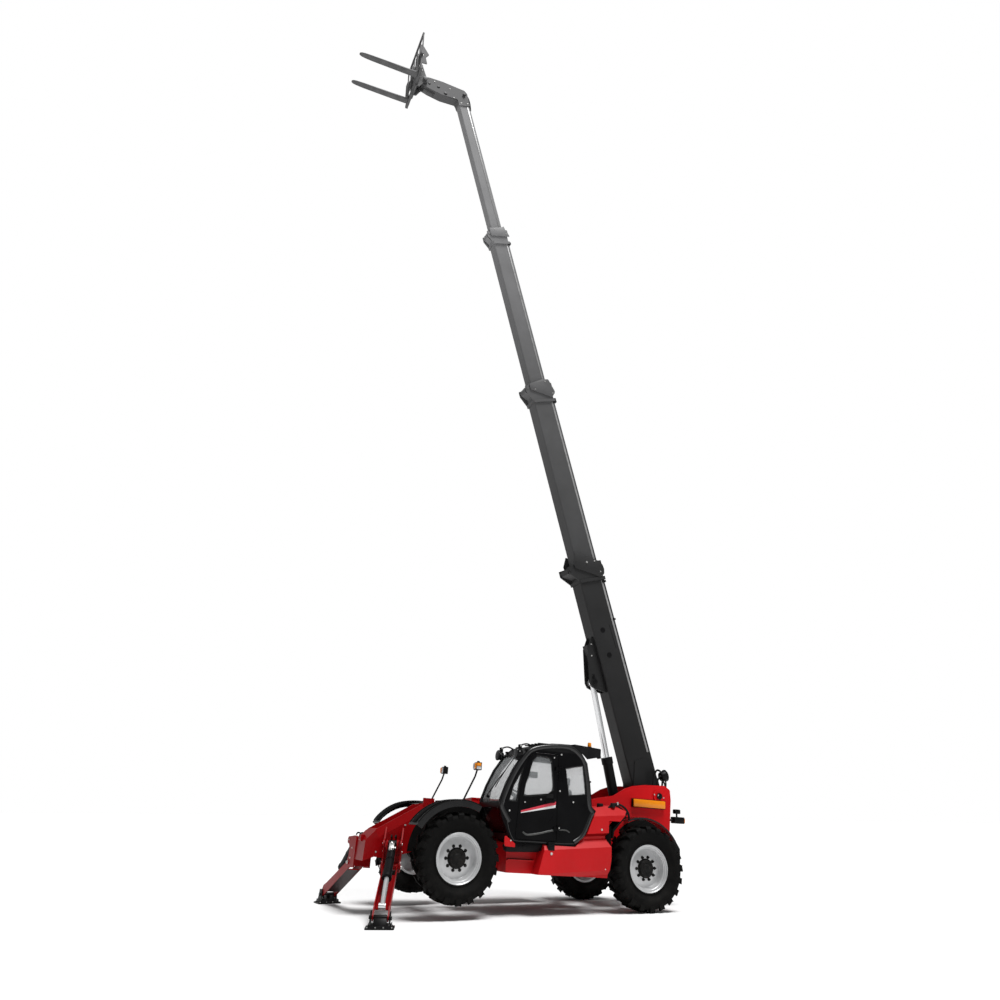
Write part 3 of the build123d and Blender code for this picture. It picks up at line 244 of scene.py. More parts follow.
# --- Rims ---------------------------------------------------------------------
# Pressed steel rims, painted silver: a rolled lip, a stepped well and a dished disc
# with ten nuts round a black hub cap. The disc is welded to the well.
silver = finish("rim_paint", (0.50, 0.505, 0.51), (0.62, 0.625, 0.63), 0.34, patch=7, grain=0.06,
                grain_size=0.002, metal=0.45, dust=0.05)
hub_black = finish("hub_paint", (0.004, 0.004, 0.004), (0.009, 0.009, 0.009), 0.45, patch=12,
                   grain=0.2, grain_size=0.003, specular=0.12, dust=0.1)
rim_profile = [
    (0.302, -0.156), (0.326, -0.1575), (0.3335, -0.154), (0.334, -0.147), (0.326, -0.142), (0.319, -0.128),
    (0.315, -0.060), (0.302, -0.050), (0.302, 0.030), (0.315, 0.040), (0.319, 0.128), (0.326, 0.142),
    (0.334, 0.147), (0.3335, 0.154), (0.326, 0.1575), (0.318, 0.152), (0.314, 0.136), (0.300, 0.131),
    (0.296, 0.118), (0.290, 0.112), (0.282, 0.111), (0.277, 0.096), (0.272, 0.052), (0.258, 0.032),
    (0.236, 0.036), (0.212, 0.044), (0.186, 0.050), (0.150, 0.0515), (0.118, 0.051), (0.090, 0.051),
    (0.090, 0.036), (0.186, 0.030), (0.238, 0.014), (0.276, 0.004), (0.286, -0.010), (0.290, -0.060),
    (0.302, -0.080), (0.302, -0.156),
]
hub_profile = [
    (0.0, 0.106), (0.040, 0.106), (0.052, 0.102), (0.060, 0.096), (0.096, 0.095), (0.110, 0.092),
    (0.118, 0.083), (0.121, 0.065), (0.124, 0.058), (0.138, 0.055), (0.138, 0.048), (0.0, 0.048),
]
NUTS = 10
NUT_CIRCLE = 0.160
HUB_BOLTS = 8
HUB_BOLT_CIRCLE = 0.080


def joined(*shapes):
    """One mesh of several separate shapes."""
    whole = bmesh.new()
    for shape in shapes:
        holder = bpy.data.meshes.new("holder")
        shape.to_mesh(holder)
        shape.free()
        whole.from_mesh(holder)
        bpy.data.meshes.remove(holder)
    return whole


rim_shape = bmesh.new()
turned(rim_shape, rim_profile, 72)
nuts = bmesh.new()
bmesh.ops.create_cone(nuts, cap_ends=True, segments=6, radius1=0.0185, radius2=0.0175, depth=0.026,
                      matrix=Matrix.Translation((NUT_CIRCLE, 0, 0.063)))
bmesh.ops.create_cone(nuts, cap_ends=True, segments=12, radius1=0.011, radius2=0.010, depth=0.020,
                      matrix=Matrix.Translation((NUT_CIRCLE, 0, 0.082)))
bmesh.ops.create_cone(nuts, cap_ends=True, segments=14, radius1=0.024, radius2=0.021, depth=0.006,
                      matrix=Matrix.Translation((NUT_CIRCLE, 0, 0.0545)))
hub_bolts = bmesh.new()
bmesh.ops.create_cone(hub_bolts, cap_ends=True, segments=6, radius1=0.0085, radius2=0.008, depth=0.010,
                      matrix=Matrix.Translation((HUB_BOLT_CIRCLE, 0, 0.099)))
hub_shape = joined(round_row(nuts, NUTS), round_row(hub_bolts, HUB_BOLTS))
turned(hub_shape, hub_profile, 48)
for end, side in WHEELS:
    wheel = f"{end}_{side}"
    at_hub = Matrix.Translation(centre_of("tyre_" + wheel)) @ OUTWARD[side]
    made = piece("dished_rim_" + wheel, rim_shape.copy(), "wheel_" + wheel, silver, at_hub)
    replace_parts(made, "rim_" + wheel)
    piece("hub_cap_" + wheel, hub_shape.copy(), "wheel_" + wheel, hub_black, at_hub)
rim_shape.free()
hub_shape.free()

# --- Frame, panels and running gear finishes ----------------------------------
# Welded plate, sprayed gloss red: the tower and spine, the side tank, the engine
# bay with its moulded hood, and the stabiliser legs. Axles and weights are black.


def wear(node, material):
    """Gives a CAD node its finish."""
    mesh = frame["nodes"][node].data
    mesh.materials.clear()
    mesh.materials.append(material)


def faded(material, axis, stops, source="Object"):
    """Darkens a finish along an axis: each stop is a place, or a facing, and the colour's share there."""
    nodes, links = material.node_tree.nodes, material.node_tree.links
    shader = nodes["Principled BSDF"]
    whole = shader.inputs["Base Color"].links[0].from_socket
    place = next(node for node in nodes if node.bl_idname == "ShaderNodeTexCoord")
    split = nodes.new("ShaderNodeSeparateXYZ")
    links.new(place.outputs[source], split.inputs["Vector"])
    along = nodes.new("ShaderNodeMapRange")
    along.inputs["From Min"].default_value = stops[0][0]
    along.inputs["From Max"].default_value = stops[-1][0]
    links.new(split.outputs[axis], along.inputs["Value"])
    shares = nodes.new("ShaderNodeValToRGB")
    ramp = shares.color_ramp.elements
    while len(ramp) < len(stops):
        ramp.new(0.5)
    for mark, (at, share) in zip(ramp, stops):
        mark.position = (at - stops[0][0]) / (stops[-1][0] - stops[0][0])
        mark.color = (share, share, share, 1)
    links.new(along.outputs["Result"], shares.inputs["Fac"])
    tone = nodes.new("ShaderNodeMix")
    tone.data_type = "RGBA"
    tone.blend_type = "MULTIPLY"
    tone.inputs["Factor"].default_value = 1
    links.new(whole, tone.inputs["A"])
    links.new(shares.outputs["Color"], tone.inputs["B"])
    links.new(tone.outputs["Result"], shader.inputs["Base Color"])


red = finish("red_enamel", (0.45, 0.0030, 0.0050), (0.55, 0.0050, 0.0082), 0.32, patch=1.4, grain=0.04,
             grain_size=0.003, specular=0.22, dust=0.03)
hood_red = finish("red_moulding", (0.48, 0.0040, 0.0062), (0.59, 0.0065, 0.0095), 0.36, patch=1.1,
                  grain=0.10, grain_size=0.002, specular=0.36, dust=0.03)
plate_black = finish("black_steel_paint", (0.0030, 0.0030, 0.0034), (0.0075, 0.0075, 0.0080), 0.40, patch=4,
                     grain=0.12, grain_size=0.003, specular=0.12, dust=0.02)
iron = finish("cast_iron", (0.05, 0.05, 0.052), (0.09, 0.09, 0.09), 0.6, patch=8, grain=0.5,
              grain_size=0.004, metal=0.4, dust=0.1)
chrome = finish("hard_chrome", (0.78, 0.79, 0.80), (0.90, 0.91, 0.92), 0.16, patch=30, grain=0.02,
                grain_size=0.001, metal=0.7)
zinc = finish("zinc_plate", (0.60, 0.60, 0.58), (0.78, 0.78, 0.76), 0.28, patch=60, grain=0.08,
              grain_size=0.001, metal=0.7)
for node in ("side_tank", "engine_bay"):
    wear(node, red)
frame_red = finish("frame_red", (0.52, 0.0040, 0.0065), (0.62, 0.0065, 0.0100), 0.32, patch=1.4, grain=0.04,
                   grain_size=0.003, specular=0.12, dust=0.02)
# Painted shade: faces that look down are darkened, and the frame darkens towards the nose.
PAINTED_UNDERSIDE_SHADE = ((-1.0, 0.04), (-0.90, 0.05), (-0.72, 1.0), (1.0, 1.0))
PAINTED_NOSE_SHADE = ((-3.2, 1.0), (-0.4, 0.95), (1.0, 0.50), (2.6, 0.42))
for paint in (red, frame_red):
    faded(paint, "Z", PAINTED_UNDERSIDE_SHADE, "Normal")
faded(frame_red, "X", PAINTED_NOSE_SHADE)
for node in ("main_frame", "stabiliser_leg_left", "stabiliser_leg_right"):
    wear(node, frame_red)
wear("engine_hood", hood_red)
wear("engine_block", iron)
for node in ("axle_beams", "counterweight", "lift_cylinder_barrel", "tilt_cylinder_barrel"):
    wear(node, plate_black)
for node in ("lift_cylinder_rod", "tilt_cylinder_rod", "stabiliser_rod_left", "stabiliser_rod_right"):
    wear(node, chrome)
for side in ("left", "right"):
    wear("stabiliser_barrel_" + side, plate_black)
    wear("stabiliser_pad_" + side, plate_black)
    for end in ("front", "rear"):
        wear(f"knuckle_{end}_{side}", plate_black)

# --- Tower fittings -----------------------------------------------------------
# What is bolted to the tower plates: capped pins, an amber lamp bar on each side,
# tail lamps on arms, a working lamp behind the boom's foot and its looping hoses.


def softened(shape, width, segments=2):
    """Rounds a shape's sharp edges."""
    bmesh.ops.recalc_face_normals(shape, faces=shape.faces)
    shape.normal_update()
    sharp = [edge for edge in shape.edges if edge.calc_face_angle(0) > 0.45]
    bmesh.ops.bevel(shape, geom=sharp, offset=width, segments=segments, profile=0.5, affect="EDGES",
                    material=-1, clamp_overlap=True)
    return shape


def slab(outline, y_low, y_high, soften=0.0):
    """A plate with an X-Z outline that stands between two Y values."""
    shape = bmesh.new()
    face = shape.faces.new([shape.verts.new((x, y_low, z)) for x, z in outline])
    grown = bmesh.ops.extrude_face_region(shape, geom=[face])["geom"]
    moved = [item for item in grown if isinstance(item, bmesh.types.BMVert)]
    bmesh.ops.translate(shape, verts=moved, vec=(0, y_high - y_low, 0))
    return softened(shape, soften) if soften else shape


def block(x, y, z, soften=0.004):
    """A box between pairs of limits, its edges rounded."""
    return slab([(x[0], z[0]), (x[1], z[0]), (x[1], z[1]), (x[0], z[1])], y[0], y[1], soften)


def rod(start, end, radius, end_radius=None, sides=20, soften=0.0):
    """A round bar between two points."""
    start, end = Vector(start), Vector(end)
    shape = bmesh.new()
    turn = (end - start).to_track_quat("Z", "Y").to_matrix().to_4x4()
    bmesh.ops.create_cone(shape, cap_ends=True, segments=sides, radius1=radius,
                          radius2=radius if end_radius is None else end_radius, depth=(end - start).length,
                          matrix=Matrix.Translation((start + end) / 2) @ turn)
    return softened(shape, soften) if soften else shape


def hose(points, radius, sides=10, steps=6, closed=False, flat=1.0):
    """A round line that runs smoothly through points; flat squeezes it along Y."""
    points = [Vector(point) for point in points]
    count = len(points)
    path = []
    for i in range(count if closed else count - 1):
        if closed:
            before, here, there, after = (points[(i + k) % count] for k in (-1, 0, 1, 2))
        else:
            before, here, there, after = (points[min(max(i + k, 0), count - 1)] for k in (-1, 0, 1, 2))
        for k in range(steps):
            t = k / steps
            square = 2 * before - 5 * here + 4 * there - after
            cube = 3 * here - before - 3 * there + after
            path.append(0.5 * (2 * here + (there - before) * t + square * t * t + cube * t ** 3))
    if not closed:
        path.append(points[-1])
    shape = bmesh.new()
    across = (path[1] - path[0]).orthogonal().normalized()
    rings = []
    for i, point in enumerate(path):
        if closed:
            ahead = (path[(i + 1) % len(path)] - path[i - 1]).normalized()
        else:
            ahead = (path[min(i + 1, len(path) - 1)] - path[max(i - 1, 0)]).normalized()
        across = (across - ahead * across.dot(ahead)).normalized()
        other = ahead.cross(across)
        ring = []
        for k in range(sides):
            turn = math.tau * k / sides
            out = radius * (across * math.cos(turn) + other * math.sin(turn))
            ring.append(shape.verts.new(point + Vector((out.x, out.y * flat, out.z))))
        rings.append(ring)
    for low, high in zip(rings, rings[1:]):
        for k in range(sides):
            shape.faces.new((low[k], low[(k + 1) % sides], high[(k + 1) % sides], high[k]))
    if closed:
        # The last ring meets the first where their corners lie nearest.
        low, high = rings[-1], rings[0]
        shift = min(range(sides), key=lambda k: (high[k].co - low[0].co).length)
        for k in range(sides):
            shape.faces.new((low[k], low[(k + 1) % sides], high[(k + 1 + shift) % sides],
                             high[(k + shift) % sides]))
    else:
        shape.faces.new(rings[0])
        shape.faces.new(rings[-1])
    return shape


def bolt(point, outward, size):
    """A hexagon head on its washer."""
    point, outward = Vector(point), Vector(outward).normalized()
    shape = rod(point - outward * 0.001, point + outward * size * 0.25, size * 1.25, sides=14)
    return joined(shape, rod(point + outward * size * 0.2, point + outward * size * 0.95, size, size * 0.92,
                             sides=6))


def both_sides(shape):
    """The shape and its twin on the other side of the machine."""
    twin = shape.copy()
    bmesh.ops.scale(twin, vec=(1, -1, 1), verts=twin.verts)
    return joined(shape, twin)


joints = {joint["name"]: joint for joint in frame["joints"]}
PIVOT = ON_CHASSIS.inverted() @ Vector(joints["boom_lift"]["pos_m"])
LIFT_PIN = Vector((-0.220, 0, 1.010))
amber = finish("amber_lens", (0.82, 0.235, 0.002), (0.90, 0.290, 0.003), 0.20, patch=20, specular=0.4)
red_lens = finish("red_lens", (0.30, 0.003, 0.003), (0.42, 0.006, 0.005), 0.14, patch=20, specular=0.5)
clear_lens = finish("clear_lens", (0.50, 0.52, 0.54), (0.75, 0.77, 0.80), 0.10, patch=16, metal=0.4)
rubber_hose = finish("hose_rubber", (0.005, 0.005, 0.005), (0.012, 0.012, 0.012), 0.55, patch=30, grain=0.3,
                     grain_size=0.001, specular=0.15)
caps = joined(
    rod((PIVOT.x, 0.449, PIVOT.z), (PIVOT.x, 0.464, PIVOT.z), 0.052, sides=32, soften=0.004),
    rod((LIFT_PIN.x, 0.434, LIFT_PIN.z), (LIFT_PIN.x, 0.448, LIFT_PIN.z), 0.050, sides=32, soften=0.004),
)
piece("pin_caps", both_sides(caps), "chassis", plate_black, ON_CHASSIS)
nipples = joined(
    bolt((PIVOT.x + 0.030, 0.463, PIVOT.z + 0.012), (0, 1, 0), 0.010),
    bolt((LIFT_PIN.x, 0.447, LIFT_PIN.z), (0, 1, 0), 0.008),
    bolt((PIVOT.x + 0.090, 0.437, PIVOT.z + 0.020), (0, 1, 0), 0.009),
    bolt((PIVOT.x - 0.090, 0.437, PIVOT.z - 0.020), (0, 1, 0), 0.009),
)
piece("pin_cap_bolts", both_sides(nipples), "chassis", zinc, ON_CHASSIS)
lens = block((-0.768, -0.158), (0.436, 0.488), (1.494, 1.612), 0.012)
piece("side_lamp_lenses", both_sides(lens), "chassis", amber, ON_CHASSIS)
lamp_back = joined(
    block((-0.776, -0.150), (0.418, 0.440), (1.486, 1.620), 0.005),
    block((-0.778, -0.769), (0.430, 0.470), (1.490, 1.616), 0.003),
    block((-0.157, -0.148), (0.430, 0.470), (1.490, 1.616), 0.003),
)
piece("side_lamp_backs", both_sides(lamp_back), "chassis", plate_black, ON_CHASSIS)
tail_arm = joined(
    hose([(-0.860, 0.400, 1.300), (-0.905, 0.405, 1.330), (-0.965, 0.405, 1.338), (-1.000, 0.405, 1.338)],
         0.017),
    block((-1.155, -0.955), (0.345, 0.470), (1.286, 1.388), 0.012),
    rod((-1.040, 0.405, 1.370), (-1.040, 0.405, 1.450), 0.014),
    block((-1.092, -0.988), (0.360, 0.450), (1.436, 1.506), 0.014),
    block((-0.890, -0.872), (0.350, 0.415), (1.250, 1.345), 0.003),
)
piece("tail_lamp_arms", both_sides(tail_arm), "chassis", plate_black, ON_CHASSIS)
tail_lens = joined(block((-1.166, -1.150), (0.352, 0.404), (1.300, 1.370), 0.005))
piece("tail_lamp_lenses", both_sides(tail_lens), "chassis", red_lens, ON_CHASSIS)
turn_lens = block((-1.166, -1.150), (0.410, 0.463), (1.300, 1.370), 0.005)
piece("turn_lamp_lenses", both_sides(turn_lens), "chassis", amber, ON_CHASSIS)
foot_lamp = joined(
    rod((-0.800, 0.300, 2.010), (-0.885, 0.300, 2.035), 0.070, 0.092, sides=32, soften=0.006),
    rod((-0.885, 0.300, 2.035), (-0.905, 0.300, 2.041), 0.097, sides=32, soften=0.005),
    hose([(-0.830, 0.395, 1.845), (-0.850, 0.345, 1.900), (-0.845, 0.300, 1.960)], 0.013),
    block((-0.850, -0.800), (0.385, 0.408), (1.800, 1.862), 0.004),
)
piece("rear_work_lamp", foot_lamp, "chassis", plate_black, ON_CHASSIS)
piece("rear_work_lamp_lens", rod((-0.902, 0.300, 2.040), (-0.909, 0.300, 2.042), 0.088, sides=32,
                                 soften=0.003),
      "chassis", clear_lens, ON_CHASSIS)
loops = joined(
    hose([(-0.700, 0.345, 1.640), (-0.800, 0.340, 1.850), (-0.815, 0.320, 2.060), (-0.730, 0.300, 2.110),
          (-0.680, 0.285, 1.980), (-0.640, 0.280, 1.720)], 0.016),
    hose([(-0.740, 0.370, 1.640), (-0.850, 0.365, 1.820), (-0.865, 0.350, 1.945), (-0.780, 0.330, 2.020),
          (-0.720, 0.320, 1.900), (-0.690, 0.310, 1.700)], 0.013),
)
piece("boom_foot_hoses", loops, "chassis", rubber_hose, ON_CHASSIS)
hitch = joined(
    rod((-1.225, 0, 0.600), (-1.225, 0, 0.790), 0.0148, sides=18, soften=0.002),
    hose([(-1.225, -0.045, 0.825), (-1.225, -0.020, 0.800), (-1.225, 0.020, 0.800), (-1.225, 0.045, 0.825)],
         0.007),
)
piece("hitch_pin", hitch, "chassis", zinc, ON_CHASSIS)
weight_bolts = joined(*[bolt((-1.088, y, z), (-1, 0, 0), 0.018) for y in (-0.30, 0.30)
                        for z in (0.74, 0.86)])
piece("counterweight_bolts", weight_bolts, "chassis", zinc, ON_CHASSIS)

# --- Tank and engine side fittings --------------------------------------------
# Bolts of the cab side's fuel and oil tank, and below the door a rubber cab mount
# with a ribbed steel tread on the step. All are screwed on from outside.
tank_bolts = joined(
    bolt((0.803, 1.1295, 1.099), (0, 1, 0), 0.012), bolt((1.656, 1.1695, 0.728), (0, 1, 0), 0.015),
    bolt((2.300, 1.1495, 0.870), (0, 1, 0), 0.009), bolt((0.760, 1.1695, 0.560), (0, 1, 0), 0.007),
)
piece("tank_bolts", tank_bolts, "chassis", zinc, ON_CHASSIS)
mount = joined(
    block((1.605, 1.712), (1.090, 1.172), (0.765, 0.880), 0.008),
    block((1.622, 1.695), (1.100, 1.178), (0.780, 0.838), 0.005),
    slab([(1.765, 0.848), (1.785, 0.752), (2.330, 0.728), (2.352, 0.800), (2.300, 0.848)], 0.965, 1.085,
         0.010),
    slab([(1.800, 0.765), (1.810, 0.735), (2.300, 0.716), (2.310, 0.750)], 0.955, 1.070, 0.006),
    rod((2.060, 1.080, 0.800), (2.060, 1.094, 0.800), 0.024, sides=20, soften=0.003),
    rod((2.130, 1.080, 0.797), (2.130, 1.092, 0.797), 0.014, sides=16, soften=0.003),
    slab([(1.868, 0.621), (2.262, 0.621), (2.262, 0.627), (1.868, 0.627)], 0.948, 1.006),
    *[block((1.880 + 0.042 * i, 1.892 + 0.042 * i), (0.952, 1.002), (0.6265, 0.632), 0.0015)
      for i in range(9)],
)
piece("cab_mount_and_step_tread", mount, "chassis", plate_black, ON_CHASSIS)

# --- Arch shade sheets and guard beads ----------------------------------------
# Painted shade round the wheels, as black sheets in a rubber finish: a curved sheet
# behind the tank, flat sheets on nose and tower. Rolled beads edge the front mudguards.
KINGPIN_Y = 0.740
SHADE_SHEET_R = 0.777
HUB_Z = 0.61
REAR_ARCH_X = -0.38
NOSE_ARCH_X = 2.77
GUARD_X = 3.10


def arc(x, radius, degrees):
    """Points on an upright circle at hub height, one for each angle."""
    return [(x + radius * math.cos(math.radians(turn)), HUB_Z + radius * math.sin(math.radians(turn)))
            for turn in degrees]


def guard_band(inner, outer, y_low, y_high):
    """A band that follows the front mudguard's arc."""
    outline = arc(GUARD_X, outer, range(34, 113, 3)) + arc(GUARD_X, inner, range(112, 33, -3))
    return slab(outline, y_low, y_high, 0.003)


# Painted shade in the rear arch: a curved black sheet behind the tank, a plate on the tank's lower rear
# slope and an arc on the tower side.
curved_shade_sheet = bmesh.new()
rows = []
for i in range(17):
    turn = math.radians(-12 + 44 * i / 16)
    x, y = SHADE_SHEET_R * math.cos(turn), KINGPIN_Y + SHADE_SHEET_R * math.sin(turn)
    rows.append([curved_shade_sheet.verts.new((x, y, z)) for z in (0.470, 0.700, 0.930, 1.160)])
for low, high in zip(rows, rows[1:]):
    for k in range(3):
        curved_shade_sheet.faces.new((low[k], high[k], high[k + 1], low[k + 1]))
bmesh.ops.recalc_face_normals(curved_shade_sheet, faces=curved_shade_sheet.faces)
bmesh.ops.solidify(curved_shade_sheet, geom=curved_shade_sheet.faces[:], thickness=0.006)
rear_shade_sheets = joined(
    curved_shade_sheet,
    slab([(0.335, 1.366), (0.352, 1.380), (0.612, 1.106), (0.624, 0.990), (0.604, 0.985), (0.585, 1.085)],
         0.900, 1.128, 0.003),
    slab(arc(REAR_ARCH_X, 0.695, range(48, 139, 6)) + arc(REAR_ARCH_X, 0.560, range(138, 47, -6)),
         0.419, 0.427, 0.002),
)
# Painted shade: flat black sheets on the nose inside the front arches.
front_shade_sheets = slab(
    arc(NOSE_ARCH_X, 0.790, range(2, 60, 6)) + arc(NOSE_ARCH_X, 0.728, range(62, 129, 6))
    + arc(NOSE_ARCH_X, 0.585, range(128, 1, -6)), 0.270, 0.282)
guard_beads = joined(
    guard_band(0.742, 0.757, 0.930, 1.090),
    *[hose([(x, y, z) for x, z in arc(GUARD_X, 0.746, range(34, 113, 6))], 0.009, steps=2)
      for y in (0.820, 1.204)],
)
piece("front_guard_beads", both_sides(guard_beads), "chassis", rubber, ON_CHASSIS)
piece("front_arch_shade_sheets", both_sides(front_shade_sheets), "chassis", rubber, ON_CHASSIS)
piece("rear_arch_shade_sheets", rear_shade_sheets, "chassis", rubber, ON_CHASSIS)

# --- Filler, grilles and exhaust ----------------------------------------------
# The tank's filler neck and breather hoses, the hood's louvred grille and latches,
# the radiator grille under it and the cast exhaust stack on its brackets.
pipes = joined(
    hose([(0.640, 1.010, 1.400), (0.560, 1.020, 1.470), (0.450, 1.020, 1.480), (0.330, 1.015, 1.430),
          (0.255, 0.990, 1.350), (0.225, 0.960, 1.270)], 0.017),
    hose([(0.600, 0.960, 1.400), (0.480, 0.970, 1.462), (0.340, 0.965, 1.400), (0.270, 0.930, 1.290)],
         0.013),
    rod((0.560, 1.030, 1.425), (0.560, 1.030, 1.492), 0.040, 0.036, sides=24, soften=0.006),
    rod((0.700, 0.880, 1.420), (0.700, 0.880, 1.478), 0.052, 0.048, sides=28, soften=0.006),
)
piece("tank_pipes_and_filler", pipes, "chassis", rubber_hose, ON_CHASSIS)
piece("filler_tag", rod((0.475, 1.032, 1.470), (0.475, 1.032, 1.512), 0.013, sides=14, soften=0.002),
      "chassis", silver, ON_CHASSIS)
grille = joined(
    slab([(1.080, 1.120), (1.760, 1.120), (1.760, 1.285), (1.080, 1.285)], -1.176, -1.166, 0.004),
    *[slab([(1.100, z), (1.740, z), (1.740, z + 0.006), (1.100, z + 0.006)], -1.186, -1.172, 0.002)
      for z in (1.138, 1.160, 1.182, 1.204, 1.226, 1.248)],
    block((0.930, 0.990), (-1.180, -1.166), (1.100, 1.135), 0.005),
    block((2.080, 2.140), (-1.180, -1.166), (1.100, 1.135), 0.005),
)
piece("hood_grille", grille, "engine_hood", plate_black, ON_CHASSIS)
exhaust = joined(
    hose([(0.745, -0.660, 1.080), (0.745, -0.660, 1.400), (0.745, -0.660, 1.640), (0.735, -0.670, 1.720),
          (0.690, -0.700, 1.765)], 0.036, sides=20),
    rod((0.745, -0.660, 1.180), (0.745, -0.660, 1.520), 0.052, sides=24, soften=0.008),
    block((0.745, 0.805), (-0.700, -0.620), (1.200, 1.230), 0.004),
    block((0.745, 0.805), (-0.700, -0.620), (1.330, 1.360), 0.004),
)
piece("exhaust_stack", exhaust, "chassis", iron, ON_CHASSIS)
bay_trim = joined(
    slab([(1.000, 0.620), (1.900, 0.620), (1.900, 0.900), (1.000, 0.900)], -1.176, -1.166, 0.004),
    *[slab([(1.020, z), (1.880, z), (1.880, z + 0.012), (1.020, z + 0.012)], -1.186, -1.172, 0.002)
      for z in (0.650, 0.700, 0.750, 0.800, 0.850)],
)
piece("radiator_grille", bay_trim, "chassis", plate_black, ON_CHASSIS)

# --- Stabiliser fittings ------------------------------------------------------
# Check valves and steel pipes on the cylinders, hexagon heads on the ears, bolts
# round the boots and hoses from the nose. All are screwed or clipped on.


def band(start, end, inner, outer):
    """A hollow band round the X axis."""
    shape = bmesh.new()
    turned(shape, [(inner, start), (outer, start), (outer, end), (inner, end), (inner, start)], 40,
           Matrix.Rotation(math.pi / 2, 4, "Y"))
    return shape


BARREL_FOOT = Vector((0.095, 0, 0.300))
BARREL_SLOPE = math.radians(36.95)
for side, sign in (("left", 1), ("right", -1)):
    swing = joints["stabiliser_swing_" + side]
    upwards = ON_CHASSIS.to_3x3() @ Vector((0, 0, 1))
    outwards = Vector(swing["axis"]).cross(upwards).normalized()
    if outwards.y * sign < 0:
        outwards = -outwards
    leg_turn = Matrix((outwards, upwards.cross(outwards), upwards)).transposed().to_4x4()
    on_leg = Matrix.Translation(Vector(swing["pos_m"])) @ leg_turn
    on_barrel = on_leg @ Matrix.Translation(BARREL_FOOT) @ Matrix.Rotation(BARREL_SLOPE, 4, "Y")
    valve = joined(
        block((0.105, 0.205), (-0.034, 0.034), (0.052, 0.108), 0.006),
        rod((0.120, 0, 0.100), (0.120, 0, 0.130), 0.016, sides=6, soften=0.002),
        rod((0.175, 0.030, 0.080), (0.175, 0.062, 0.080), 0.014, sides=6, soften=0.002),
        rod((0.205, 0, 0.085), (0.235, 0, 0.085), 0.013, sides=14, soften=0.002),
    )
    piece("check_valve_" + side, valve, "stabiliser_barrel_" + side, zinc, on_barrel)
    lines = joined(
        hose([(0.235, 0, 0.085), (0.300, 0, 0.080), (0.420, 0.006, 0.070), (0.560, 0.006, 0.070),
              (0.620, 0.004, 0.066), (0.650, 0, 0.050)], 0.008),
        band(0.640, 0.686, 0.052, 0.066),
        band(0.330, 0.350, 0.052, 0.062),
        block((0.330, 0.350), (-0.014, 0.020), (0.050, 0.082), 0.003),
    )
    piece("cylinder_pipes_" + side, lines, "stabiliser_barrel_" + side, plate_black,
          on_barrel)
    ear_bolts = joined(
        *[bolt((0, edge * 0.1445, 0), (0, edge, 0), 0.020) for edge in (-1, 1)],
        *[bolt((u, edge * 0.1325, w), (0, edge, 0), 0.010)
          for edge in (-1, 1) for u, w in ((-0.06, 0.06), (-0.10, 0.20), (0.08, 0.305))],
    )
    piece("ear_bolts_" + side, ear_bolts, "chassis", zinc, on_leg)
    supply = joined(*[
        hose([(-0.220, v, 0.330), (-0.120, v * 1.15, 0.400), (0.010, v * 1.1, 0.412), (0.075, v, 0.385)],
             0.011)
        for v in (-0.028, 0.028)])
    piece("stabiliser_hoses_" + side, supply, "chassis", rubber_hose, on_leg)
    pin = Vector(joints["stabiliser_pad_swing_" + side]["pos_m"])
    flat_turn = math.atan2(on_leg[1][0], on_leg[0][0])
    on_pad = Matrix.Translation((pin.x, pin.y, 0)) @ Matrix.Rotation(flat_turn, 4, "Z")
    pad_bolts = joined(*[
        bolt((u * 0.118, v * 0.152, 0.0175), (0, 0, 1), 0.010) for u in (-1, 1)
        for v in (-1, -0.33, 0.33, 1)])
    piece("pad_bolts_" + side, pad_bolts, "stabiliser_pad_" + side, zinc, on_pad)
    pedestal = joined(
        rod((0, -0.084, 0.120), (0, 0.084, 0.120), 0.034, sides=28, soften=0.004),
        slab([(-0.105, 0.017), (0.105, 0.017), (0.046, 0.118), (-0.046, 0.118)], -0.082, 0.082, 0.006),
        *[slab([(-0.132, 0.017), (0.132, 0.017), (0.112, 0.060), (-0.112, 0.060)], y - 0.005, y + 0.005,
               0.002)
          for y in (-0.140, 0.140)],
    )
    piece("pad_pedestal_" + side, pedestal, "stabiliser_pad_" + side, plate_black, on_pad)
nose_bolts = joined(*[bolt((x, 0.2715, z), (0, 1, 0), 0.011)
                      for x, z in ((3.34, 1.16), (3.62, 0.98), (3.52, 0.72), (4.02, 0.60), (2.95, 1.18))])
piece("nose_bolts", both_sides(nose_bolts), "chassis", zinc, ON_CHASSIS)

# --- Cab finishes -------------------------------------------------------------
# Pressed and tube-framed steel cab in satin black, tinted flat and curved glass,
# moulded roof, mudguards and interior.
cab_black = finish("cab_enamel", (0.0018, 0.0018, 0.0021), (0.0045, 0.0045, 0.0050), 0.30, patch=2.5,
                   grain=0.05, grain_size=0.003, specular=0.08)
hoop_black = finish("hoop_enamel", (0.0050, 0.0050, 0.0055), (0.0095, 0.0095, 0.0100), 0.28, patch=2.5,
                    grain=0.05, grain_size=0.003, specular=0.55)
moulding = finish("black_moulding", (0.0032, 0.0032, 0.0036), (0.0080, 0.0080, 0.0085), 0.46, patch=6,
                  grain=0.35, grain_size=0.0016, specular=0.14, dust=0.01)
glass = finish("tinted_glass_with_painted_shade", (0.40, 0.42, 0.43), (0.60, 0.62, 0.63), 0.05, patch=2.2, specular=0.5)
glass.node_tree.nodes["Principled BSDF"].inputs["Alpha"].default_value = 0.26
